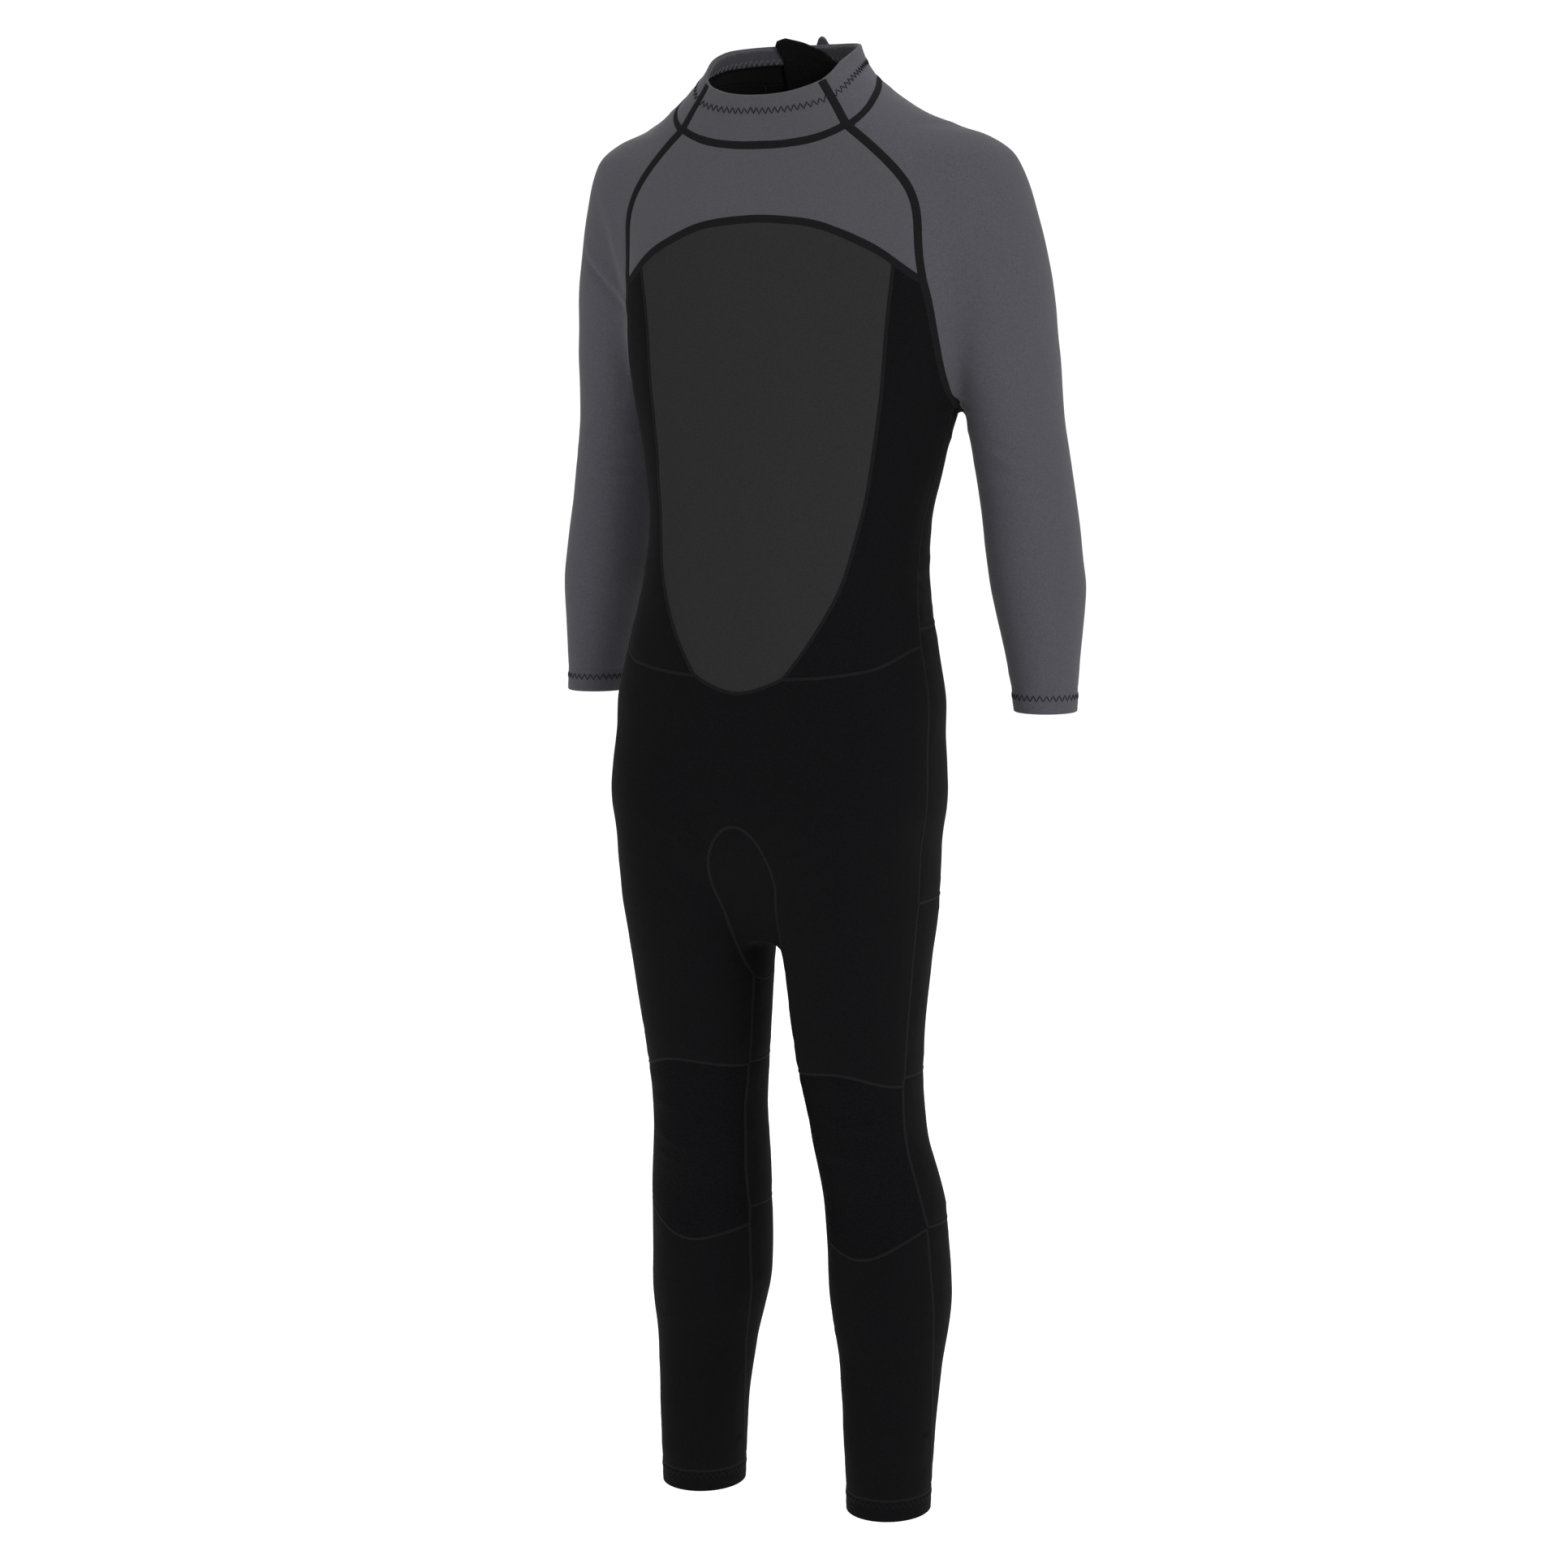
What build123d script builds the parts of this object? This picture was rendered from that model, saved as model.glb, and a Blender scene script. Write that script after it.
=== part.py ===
from build123d import *
import math
import os

# A full-length back-zip wetsuit, standing as if worn. +X is the wearer's left, -Y the front, +Z up.
# The shape is worked out in heights above the ankle hems, and each piece is then moved so that
# the origin is the middle of the neck opening.

# Driving dimensions, in millimetres
WALL = 3.0                    # neoprene thickness
NECK_HEIGHT = 1440.0          # middle of the neck opening above the ankle hems
NECK_DEPTH = 8.0              # middle of the neck opening behind the mid-plane of the hips
RING_POINTS = 28              # points round each cross-section
REACH = 500.0                 # how far a cutting block reaches past the suit
JOINT_GAP = 0.3               # clearance between neoprene pieces on different bodies
CUFF_DEPTH = 22.0             # height of the turned hem at each wrist and ankle
WRIST_HEIGHT = 822.0          # lower edge of each sleeve
SLEEVE_JOIN = 1104.0          # upper end of the elbow zone
FOREARM_JOIN = 1000.0         # lower end of the elbow zone
KNEE_TOP = 462.0              # upper end of the knee zone
KNEE_BOTTOM = 303.0           # lower end of the knee zone
THIGH_JOIN = 640.0            # seam between the seat and the back of each thigh

# Back zip
ZIP_BACK = 118.0              # distance of the straight centre-back line behind the hips' mid-plane
ZIP_TOP = 1404.0              # upper end of the tapes
ZIP_BOTTOM = 962.0            # lower end of the tapes
SLOT_HALF = 15.0              # half the width of the opening that the zip fills
TAPE_INNER = 3.4              # where each tape's inner edge lies, from the centre line
TAPE_THICKNESS = 1.0
COIL_INNER = 0.9              # inner face of each closed coil row
COIL_RADIUS = 1.5
STOP_LENGTH = 5.0
SLIDER_LENGTH = 24.0
SLIDER_WIDTH = 15.0
SLIDER_PLATE = 1.8
SLIDER_POST = 1.2
SLIDE_CLEARANCE = 0.4
PULLER_LENGTH = 38.0
PULLER_WIDTH = 9.0
PULLER_THICKNESS = 2.0
PIN_RADIUS = 1.2

# Neck closure
TAB_THICKNESS = 2.4
PAD_THICKNESS = 0.8
LAYER_GAP = 0.05              # air between two layers that lie on each other
TAB_FROM = -52.0              # free end of the closing tab
TAB_TO = 34.0                 # sewn end of the closing tab
TAB_LOW = 1438.0
TAB_HIGH = 1471.0
TAB_CORNER = 9.0              # how far the grip corner of the tab stands above it

# Cross-sections. Torso: height, middle in depth, half width, depth in front of and behind the
# middle, and the power of its rounded outline (2 is an ellipse).
TORSO = [
    (592, -14, 62, 40, 48, 2.2), (642, -14, 110, 70, 80, 2.2), (692, -14, 145, 98, 106, 2.2),
    (752, -14, 165, 108, 122, 2.3), (822, -12, 168, 102, 124, 2.3), (882, -8, 158, 96, 122, 2.3),
    (942, 0, 146, 94, 117, 2.3), (997, 10, 143, 94, 108, 2.3), (1062, 22, 154, 96, 96, 2.3),
    (1142, 34, 172, 102, 84, 2.4), (1222, 40, 182, 106, 78, 2.5), (1292, 40, 188, 102, 78, 2.6),
    (1342, 36, 180, 94, 82, 2.5), (1377, 28, 158, 86, 90, 2.3), (1402, 20, 127, 80, 97, 2.1),
    (1424, 14, 98, 76, 96, 2.0), (1447, 8, 77, 72, 88, 2.0), (1472, 4, 70, 68, 80, 2.0),
    (1497, 0, 68, 66, 74, 2.0),
]
# Arm and leg: height, middle across and in depth, half width, half depth.
ARM = [
    (1386, 152, 42, 22, 26), (1376, 156, 43, 43, 46), (1354, 166, 46, 55, 60),
    (1312, 175, 52, 61, 66), (1252, 187, 60, 63, 66), (1172, 202, 70, 55, 62),
    (1092, 216, 78, 47, 53), (1012, 228, 82, 47, 51), (952, 236, 81, 47, 50),
    (892, 243, 77, 39, 42), (847, 247, 75, 33, 36), (822, 249, 74, 31, 34),
]
LEG = [
    (782, 84, -14, 72, 96), (722, 86, -14, 79, 104), (642, 86, -12, 78, 94), (565, 85, -8, 71, 80),
    (481, 84, -1, 63, 69), (397, 88, 12, 57, 65), (313, 98, 34, 61, 65), (229, 101, 40, 62, 65),
    (144, 104, 34, 51, 54), (59, 105, 28, 45, 49.5), (0, 105, 28, 42.5, 47),
]

# Seam lines seen from the front: distance from the centre line, height.
RAGLAN = [(46, 1520), (50, 1450), (59, 1428), (88, 1383), (119, 1357), (146, 1328), (155, 1302),
          (154, 1266), (160, 1231), (165, 1182), (168, 1130), (167, 1040), (192, 960), (200, 760)]
ARCH = [(0, 1298), (64, 1292), (123, 1266), (165, 1228), (240, 1170)]
TONGUE = [(140, 1330), (134, 1247), (128, 1197), (124, 1136), (111, 1028), (96, 944), (72, 895),
          (46, 857), (0, 840)]
WAIST_FRONT = [(0, 856), (90, 862), (131, 869), (147, 880), (165, 902), (REACH, 902)]
WAIST_BACK = [(0, 938), (80, 926), (140, 908), (165, 902), (REACH, 902)]
GUSSET = [(0, 728), (16, 714), (30, 692), (35, 664), (30, 618), (22, 570), (12, 520)]
KNEE_PANEL_TOP = [(0, 452), (40, 462), (92, 472), (140, 452), (170, 446)]
KNEE_PANEL_BOTTOM = [(0, 300), (40, 286), (100, 266), (150, 300), (185, 316)]

# Lines seen from the side: depth, height.
COLLAR_SEAM = [(-REACH, 1340), (-90, 1352), (-58, 1365), (-46, 1383), (-20, 1410), (20, 1430),
               (60, 1437), (REACH, 1437)]
COLLAR_TOP = [(-REACH, 1398), (-70, 1406), (-52, 1422), (-17, 1450), (30, 1468), (100, 1477),
              (REACH, 1477)]
SIDE_SEAM = [(30, 1500), (30, 1110), (24, 1040), (-19, 895), (-34, 770), (-37, 611), (-29, 528),
             (-18, 410), (8, 303), (23, 143), (37, 0), (37, -60)]

TO_NECK = Location((0, -NECK_DEPTH, -NECK_HEIGHT))


def rounded(value, power):
    return math.copysign(abs(value) ** (2 / power), value)


def ring(height, across, middle, half_width, front, back, power, inset):
    """One closed cross-section of a tube of the suit."""
    points = []
    for index in range(RING_POINTS):
        angle = 2 * math.pi * index / RING_POINTS
        x = (half_width - inset) * rounded(math.cos(angle), power)
        depth = back if math.sin(angle) > 0 else front
        y = (depth - inset) * rounded(math.sin(angle), power)
        points.append((across + x, middle + y, height))
    steps = [index / RING_POINTS for index in range(RING_POINTS + 1)]
    outline = Edge.make_spline([Vector(*point) for point in points], periodic=True, parameters=steps)
    return Face(Wire([outline]))


def torso_solid(inset):
    rows = [ring(h, 0, mid, half, front, back, power, inset) for h, mid, half, front, back, power in TORSO]
    return loft(rows)


def limb_solid(rows, side, inset, longer):
    """An arm or a leg; the inner one runs past the hem, so that the end is open."""
    solid = loft([ring(h, x, mid, half, deep, deep, 2.0, inset) for h, x, mid, half, deep in rows])
    if longer:
        solid += extrude(solid.faces().sort_by(Axis.Z)[0], longer, dir=(0, 0, -1))
    return solid if side > 0 else solid.mirror(Plane.YZ)


def front_block(points, low, high):
    """A closed outline seen from the front, as a block from depth low to depth high."""
    outline = make_face(Polyline(points, close=True))
    turned = outline.rotate(Axis.X, 90)
    return extrude(turned.moved(Location((0, high, 0))), high - low, dir=(0, -1, 0))


def side_block(points):
    """A closed outline seen from the side, as a block right across the suit."""
    wire = Polyline([(0, y, z) for y, z in points], close=True)
    return extrude(make_face(wire).moved(Location((-REACH, 0, 0))), 2 * REACH, dir=(1, 0, 0))


def below_line(points, low, high, shift=0.0):
    """Everything under a line that is the same on both sides of the suit."""
    right = [(x, z + shift) for x, z in points]
    left = [(-x, z + shift) for x, z in reversed(points) if x > 0]
    end = points[-1][0]
    return front_block(left + right + [(end, -REACH), (-end, -REACH)], low, high)


def slab(low_x, high_x, low_y, high_y, low_z, high_z):
    size = (high_x - low_x, high_y - low_y, high_z - low_z)
    middle = ((low_x + high_x) / 2, (low_y + high_y) / 2, (low_z + high_z) / 2)
    return Box(*size).moved(Location(middle))


def shell():
    """The whole suit as one skin, open at the neck, wrists and ankles."""
    skin = torso_solid(0)
    for rows in (ARM, LEG):
        for side in (1, -1):
            skin += limb_solid(rows, side, 0, 0)
    crotch = slab(-REACH, REACH, -REACH, REACH, 0, TORSO[0][0] + WALL)
    skin -= torso_solid(WALL) - crotch
    for rows in (ARM, LEG):
        for side in (1, -1):
            skin -= limb_solid(rows, side, WALL, CUFF_DEPTH)
    return skin


def band(inner, outer):
    """A layer over or under the torso's skin; a negative inset lies outside it."""
    return torso_solid(outer) - torso_solid(inner)


def solids_of(shape):
    """The pieces of a cut, largest first, without slivers."""
    found = sorted(shape.solids(), key=lambda solid: -solid.volume)
    return [solid for solid in found if solid.volume > 20]


def largest(shape):
    return solids_of(shape)[0]


def save(name, shape):
    export_step(shape.moved(TO_NECK), f"parts/{name}.step")


def save_pair(name, left):
    """The same piece on the wearer's left and right."""
    save(f"{name}_left", left)
    save(f"{name}_right", left.mirror(Plane.YZ))


def neoprene_panels():
    skin = shell()
    left_half = slab(0, REACH, -REACH, REACH, -REACH, 2 * NECK_HEIGHT)
    front = side_block(SIDE_SEAM + [(-REACH, -60), (-REACH, 1500)])

    # Collar: a front piece between the raglan seams and a side piece to each edge of the zip
    above_seam = side_block(COLLAR_SEAM + [(REACH, 1600), (-REACH, 1600)])
    above_top = side_block(COLLAR_TOP + [(REACH, 1600), (-REACH, 1600)])
    collar = skin & above_seam
    collar -= above_top
    skin -= above_seam
    between = front_block([(x, z) for x, z in RAGLAN[:5]] + [(-x, z) for x, z in reversed(RAGLAN[:5])],
                          -REACH, 0)
    save("collar_front", largest(collar & between))
    split = slab(-0.75, 0.75, 0, REACH, 1380, 1600)
    save_pair("collar_side", largest((collar - between - split) & left_half))

    # Sleeves
    outside = front_block(RAGLAN + [(REACH, 760), (REACH, 1520)], -REACH, REACH)
    sleeve = largest(skin & outside)
    skin -= outside
    skin -= outside.mirror(Plane.YZ)
    heights = (1520, SLEEVE_JOIN, FOREARM_JOIN, WRIST_HEIGHT + CUFF_DEPTH, WRIST_HEIGHT)
    for name, top, bottom in zip(("sleeve", "elbow", "forearm", "wrist_cuff"), heights, heights[1:]):
        gap = JOINT_GAP if name == "forearm" else 0
        length = slab(0, REACH, -REACH, REACH, bottom, top - gap)
        save_pair(name, largest(sleeve & length))

    # Crotch gusset and ankle hems run from front to back
    gusset = below_line(GUSSET, -REACH, REACH) - slab(-REACH, REACH, -REACH, REACH, -REACH, GUSSET[-1][1])
    save("crotch_gusset", largest(skin & gusset))
    skin -= gusset
    hem = slab(-REACH, REACH, -REACH, REACH, -REACH, CUFF_DEPTH)
    save_pair("ankle_cuff", largest(skin & hem & left_half))
    skin -= hem

    # Front: yoke, chest panel, side panels, pelvis with both thighs, knees and shins
    front_skin = skin & front
    under_arch = below_line(ARCH, -REACH, REACH)
    chest = front_block(TONGUE + [(-x, z) for x, z in reversed(TONGUE[:-1])], -REACH, REACH) & under_arch
    save("chest_panel", largest(front_skin & chest))
    front_skin -= chest
    below_waist = below_line(WAIST_FRONT, -REACH, REACH)
    upper = front_skin - below_waist
    save("chest_yoke", largest(upper - under_arch))
    save_pair("side_panel", largest(upper & under_arch & left_half))
    lower = front_skin & below_waist
    below_thigh = below_line(KNEE_PANEL_TOP, -REACH, REACH)
    below_knee = below_line(KNEE_PANEL_BOTTOM, -REACH, REACH)
    below_gap = below_line(KNEE_PANEL_BOTTOM, -REACH, REACH, -JOINT_GAP)
    save("lower_front", largest(lower - below_thigh))
    leg = lower & below_thigh & left_half
    save_pair("knee_panel", largest(leg - below_knee))
    save_pair("shin", largest(leg & below_gap))

    # Back: two panels beside the zip, the seat, thigh backs, knee backs and calves
    back_skin = (skin - front) & left_half
    slot = slab(-SLOT_HALF, SLOT_HALF, 0, REACH, ZIP_BOTTOM, ZIP_TOP)
    above_slot = slab(-0.75, 0.75, 0, REACH, ZIP_TOP, 1600)
    below_back_waist = below_line(WAIST_BACK, -REACH, REACH)
    save_pair("back_panel", largest(back_skin - below_back_waist - slot - above_slot))
    leg_back = back_skin & below_back_waist
    heights = (1000, THIGH_JOIN, KNEE_TOP, KNEE_BOTTOM, CUFF_DEPTH)
    for name, top, bottom in zip(("seat", "thigh_back", "knee_back", "calf"), heights, heights[1:]):
        gap = JOINT_GAP if name == "calf" else 0
        save_pair(name, largest(leg_back & slab(0, REACH, -REACH, REACH, bottom, top - gap)))

    # Folded binding inside the collar's upper edge
    fold = band(WALL + 1.5, WALL + LAYER_GAP) - above_top - split
    fold -= side_block([(y, z - 14) for y, z in COLLAR_TOP] + [(REACH, 500), (-REACH, 500)])
    save("neck_binding", largest(fold))


def back_zip():
    coil_low = ZIP_BOTTOM + STOP_LENGTH
    coil_high = ZIP_TOP - STOP_LENGTH
    tape_back = ZIP_BACK - 1
    middle = tape_back - TAPE_THICKNESS / 2
    save_pair("zip_tape", slab(TAPE_INNER, SLOT_HALF, tape_back - TAPE_THICKNESS, tape_back,
                               ZIP_BOTTOM, ZIP_TOP))
    coil = slab(COIL_INNER, TAPE_INNER, middle - COIL_RADIUS, middle + COIL_RADIUS, coil_low, coil_high)
    save_pair("zip_coil", fillet(coil.edges().filter_by(Axis.Z), 0.8))
    stop = slab(COIL_INNER, TAPE_INNER, middle - 2, middle + 2, coil_high, ZIP_TOP)
    save("zip_stop_top", Compound([stop, stop.mirror(Plane.YZ)]))
    save("zip_stop_bottom", slab(-TAPE_INNER, TAPE_INNER, middle - 2, middle + 2, ZIP_BOTTOM, coil_low))

    # Slider: two plates joined by a post that runs between the coils, and two ears for the pin
    slider_top = coil_high - JOINT_GAP
    slider_low = slider_top - SLIDER_LENGTH
    face = middle + COIL_RADIUS + SLIDE_CLEARANCE
    under = middle - COIL_RADIUS - SLIDE_CLEARANCE
    half = SLIDER_WIDTH / 2
    plate = fillet(slab(-half, half, face, face + SLIDER_PLATE, slider_low, slider_top)
                   .edges().filter_by(Axis.Y), 5)
    slider = plate + plate.moved(Location((0, under - SLIDER_PLATE - face, 0)))
    slider += slab(-SLIDER_POST / 2, SLIDER_POST / 2, under, face, slider_top - 9, slider_top - 1)
    lip = (half - 2, half)
    low, high = slider_low + 5, slider_top - 5
    for sign in (1, -1):
        across = sorted((sign * lip[0], sign * lip[1]))
        slider += slab(*across, tape_back + SLIDE_CLEARANCE, face, low, high)
        slider += slab(*across, under, tape_back - TAPE_THICKNESS - SLIDE_CLEARANCE, low, high)
    pin_y = face + SLIDER_PLATE + 2.7
    pin_z = slider_top - 8
    ear = slab(3.2, 4.8, face + SLIDER_PLATE, pin_y + 2, pin_z - 2.4, pin_z + 2.4)
    slider += ear
    slider += ear.mirror(Plane.YZ)
    pin = Cylinder(PIN_RADIUS, 9.6, rotation=(0, 90, 0)).moved(Location((0, pin_y, pin_z)))
    save("zip_slider", slider - pin)
    save("puller_pin", pin)

    # Puller: an eye round the pin and a flat grip that hangs from it
    eye = Cylinder(2.3, 5.6, rotation=(0, 90, 0)).moved(Location((0, pin_y, pin_z)))
    grip_top = pin_z - 7
    grip = slab(-PULLER_WIDTH / 2, PULLER_WIDTH / 2, pin_y - PULLER_THICKNESS / 2,
                pin_y + PULLER_THICKNESS / 2, pin_z - PULLER_LENGTH, grip_top)
    grip = fillet(grip.edges().filter_by(Axis.Y), 2.5)
    grip -= slab(-2, 2, 0, REACH, pin_z - PULLER_LENGTH + 5, pin_z - PULLER_LENGTH + 17)
    neck = slab(-2.2, 2.2, pin_y - PULLER_THICKNESS / 2, pin_y + PULLER_THICKNESS / 2, grip_top - 2, pin_z)
    bore = Cylinder(PIN_RADIUS + 0.08, 12, rotation=(0, 90, 0)).moved(Location((0, pin_y, pin_z)))
    save("zip_puller", grip + neck + eye - bore)

    # Reinforcing patch under the zip, and the soft flap behind it
    patch = band(-LAYER_GAP, -1.2) & slab(-21, 21, 0, REACH, ZIP_BOTTOM - 24, ZIP_BOTTOM)
    save("zip_patch", largest(patch))
    outline = [(30, ZIP_BOTTOM - 6), (30, 1440), (22, 1456), (6, 1470), (-9, 1477), (-29, 1482),
               (-41, 1476), (-34, 1458), (-40, 1430), (-40, ZIP_BOTTOM - 6)]
    flap = band(WALL + 4.6, WALL + 2.6)
    flap += band(WALL + 4.6, WALL + LAYER_GAP) & slab(-40, -30, 0, REACH, ZIP_BOTTOM - 6, 1400)
    save("zip_flap", largest(flap & front_block(outline, 0, REACH)))


def neck_closure():
    """A tab sewn to the left collar that closes over a loop pad on the right."""
    pad = band(-LAYER_GAP, -PAD_THICKNESS) & slab(TAB_FROM + 2, -8, 0, REACH, TAB_LOW + 3, TAB_HIGH - 3)
    save("tab_pad", largest(pad))
    lift = PAD_THICKNESS + JOINT_GAP
    outline = [(TAB_FROM, TAB_LOW + 5), (TAB_FROM + 5, TAB_LOW), (TAB_TO, TAB_LOW), (TAB_TO, TAB_HIGH),
               (9, TAB_HIGH), (5, TAB_HIGH + TAB_CORNER), (-3, TAB_HIGH + TAB_CORNER - 1),
               (-7, TAB_HIGH), (TAB_FROM + 5, TAB_HIGH), (TAB_FROM, TAB_HIGH - 5)]
    tab = band(-lift, -lift - TAB_THICKNESS) & front_block(outline, 0, REACH)
    save("neck_tab", largest(tab))


os.makedirs("parts", exist_ok=True)
neoprene_panels()
back_zip()
neck_closure()
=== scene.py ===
import bpy
import math
import numpy as np
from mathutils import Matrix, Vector, noise
from mathutils.bvhtree import BVHTree
from mathutils.kdtree import KDTree


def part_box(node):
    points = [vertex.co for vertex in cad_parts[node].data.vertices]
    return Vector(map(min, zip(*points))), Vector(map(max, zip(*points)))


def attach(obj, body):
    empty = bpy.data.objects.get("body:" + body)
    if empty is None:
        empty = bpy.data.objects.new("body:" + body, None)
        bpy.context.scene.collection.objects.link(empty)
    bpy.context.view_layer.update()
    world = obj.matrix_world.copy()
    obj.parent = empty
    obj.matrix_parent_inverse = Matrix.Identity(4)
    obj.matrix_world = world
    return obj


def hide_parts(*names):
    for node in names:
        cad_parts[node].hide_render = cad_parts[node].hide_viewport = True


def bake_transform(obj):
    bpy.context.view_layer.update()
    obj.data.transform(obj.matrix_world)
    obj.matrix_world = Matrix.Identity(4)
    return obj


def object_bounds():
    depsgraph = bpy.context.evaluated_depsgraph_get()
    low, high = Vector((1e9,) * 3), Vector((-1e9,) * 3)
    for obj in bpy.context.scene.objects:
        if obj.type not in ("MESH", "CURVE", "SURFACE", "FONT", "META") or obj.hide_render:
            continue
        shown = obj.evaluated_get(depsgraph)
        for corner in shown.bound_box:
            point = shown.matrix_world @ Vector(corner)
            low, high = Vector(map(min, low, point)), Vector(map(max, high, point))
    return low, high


# Full wetsuit: the looks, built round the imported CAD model.
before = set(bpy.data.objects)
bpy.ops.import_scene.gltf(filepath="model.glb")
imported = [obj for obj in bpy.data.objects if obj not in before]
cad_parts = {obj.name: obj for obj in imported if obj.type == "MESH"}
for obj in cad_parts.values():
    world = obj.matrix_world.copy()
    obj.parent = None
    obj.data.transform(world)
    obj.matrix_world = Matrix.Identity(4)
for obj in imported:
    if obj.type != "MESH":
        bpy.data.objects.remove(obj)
cad_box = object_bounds()

MM = 0.001
NECK = np.array([0.0, 8.0, 1440.0])   # the origin, as depth and height above the ankle hems, in mm
WALL = 3.0                            # neoprene thickness, mm
VOXEL = 4.0                           # mesh size of the skin, mm
SIDES = (("left", 1), ("right", -1))
SNAP = 0.32                           # an edge cut nearer to its end than this moves that end instead

# ---------------------------------------------------------------- camera and light
AZIMUTH, ELEVATION, DISTANCE = 25.0, 7.8, 3.2
FRAME_WIDTH = 1.5644                  # what the picture spans at the suit, m
SENSOR = 36.0


def add_camera():
    turn, tilt = math.radians(AZIMUTH), math.radians(ELEVATION)
    low, high = cad_box
    target = Vector((0, -NECK[1] * MM, (low[2] + high[2]) / 2 + 0.002))
    back = Vector((math.sin(turn) * math.cos(tilt), -math.cos(turn) * math.cos(tilt), math.sin(tilt)))
    data = bpy.data.cameras.new("camera")
    data.sensor_width = SENSOR
    data.lens = SENSOR * DISTANCE / FRAME_WIDTH
    camera = bpy.data.objects.new("camera", data)
    camera.location = target + back * DISTANCE
    camera.rotation_euler = (target - camera.location).to_track_quat("-Z", "Y").to_euler()
    bpy.context.scene.collection.objects.link(camera)
    bpy.context.scene.camera = camera


def add_light(name, location, size, power, target=(0, 0, -0.6)):
    data = bpy.data.lights.new(name, "AREA")
    data.shape = "RECTANGLE"
    data.size, data.size_y = size
    data.energy = power
    light = bpy.data.objects.new(name, data)
    light.location = location
    light.rotation_euler = (Vector(target) - Vector(location)).to_track_quat("-Z", "Y").to_euler()
    bpy.context.scene.collection.objects.link(light)


add_camera()


# ---------------------------------------------------------------- the body of the suit, as formulas
# The same cross-sections as the CAD model, in mm: heights are above the ankle hems.
# Torso: height, middle in depth, half width, depth in front and behind, power of the outline.
TORSO = [
    (592, -14, 62, 40, 48, 2.2), (642, -14, 110, 70, 80, 2.2), (692, -14, 145, 98, 106, 2.2),
    (752, -14, 165, 108, 122, 2.3), (822, -12, 168, 102, 124, 2.3), (882, -8, 158, 96, 122, 2.3),
    (942, 0, 146, 94, 117, 2.3), (997, 10, 143, 94, 108, 2.3), (1062, 22, 154, 96, 96, 2.3),
    (1142, 34, 172, 102, 84, 2.4), (1222, 40, 182, 106, 78, 2.5), (1292, 40, 188, 102, 78, 2.6),
    (1342, 36, 180, 94, 82, 2.5), (1377, 28, 158, 86, 90, 2.3), (1402, 20, 127, 80, 97, 2.1),
    (1424, 14, 98, 76, 96, 2.0), (1447, 8, 77, 72, 88, 2.0), (1472, 4, 70, 68, 80, 2.0),
    (1497, 0, 68, 66, 74, 2.0),
]
# Arm and leg: height, middle across and in depth, half width, half depth.
ARM = [
    (1386, 152, 42, 22, 26), (1376, 156, 43, 43, 46), (1354, 166, 46, 55, 60),
    (1312, 175, 52, 61, 66), (1252, 187, 60, 63, 66), (1172, 202, 70, 55, 62),
    (1092, 216, 78, 47, 53), (1012, 228, 82, 47, 51), (952, 236, 81, 47, 50),
    (892, 243, 77, 39, 42), (847, 247, 75, 33, 36), (822, 249, 74, 31, 34),
]
LEG = [
    (782, 84, -14, 72, 96), (722, 86, -14, 79, 104), (642, 86, -12, 78, 94), (565, 85, -8, 71, 80),
    (481, 84, -1, 63, 69), (397, 88, 12, 57, 65), (313, 98, 34, 61, 65), (229, 101, 40, 62, 65),
    (144, 104, 34, 51, 54), (59, 105, 28, 45, 49.5), (0, 105, 28, 42.5, 47),
]
COLLAR_TOP = [(-90, 1400), (-70, 1405), (-52, 1420), (-17, 1447), (30, 1463), (100, 1471), (160, 1471)]
# How softly the tubes flow into each other at each height: sharp at the crotch and the armpits.
SOFTNESS = [(0, 6), (540, 6), (600, 14), (720, 30), (1060, 5), (1120, 9), (1180, 22), (1300, 34), (1500, 34)]
CAP_SOFTNESS = 26.0                   # how round the top of each limb's tube is
EXTRA = 16.0                          # how far the tubes run past the hems before they are trimmed


def smooth_rows(rows, height):
    """Every column of a table at these heights, by monotone cubic curves."""
    table = np.array(sorted(rows), float)
    z, step = table[:, 0], np.diff(table[:, 0])
    k = np.clip(np.searchsorted(z, height, side="right") - 1, 0, len(z) - 2)
    s = np.clip((height - z[k]) / step[k], 0, 1)
    found = []
    for y in table[:, 1:].T:
        slope = np.diff(y) / step
        m = np.concatenate([slope[:1], np.zeros(len(y) - 2), slope[-1:]])
        same = slope[:-1] * slope[1:] > 0
        a, b = slope[:-1][same], slope[1:][same]
        h0, h1 = step[:-1][same], step[1:][same]
        m[1:-1][same] = 3 * (h0 + h1) / ((2 * h1 + h0) / a + (h1 + 2 * h0) / b)
        found.append((2 * s**3 - 3 * s**2 + 1) * y[k] + (s**3 - 2 * s**2 + s) * step[k] * m[k]
                     + (-2 * s**3 + 3 * s**2) * y[k + 1] + (s**3 - s**2) * step[k] * m[k + 1])
    return found


def torso_gap(p):
    """Rough signed distance to the torso's outline: negative inside."""
    mid, half, front, back, power = smooth_rows(TORSO, p[:, 2])
    dx, dy = p[:, 0], p[:, 1] - mid
    depth = np.where(dy < 0, front, back)
    share = (np.abs(dx / half) ** power + np.abs(dy / depth) ** power) ** (1 / power) + 1e-9
    gap = np.hypot(dx, dy) * (1 - 1 / share)
    return np.maximum(gap, (TORSO[0][0] - p[:, 2]) * 0.8)


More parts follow.
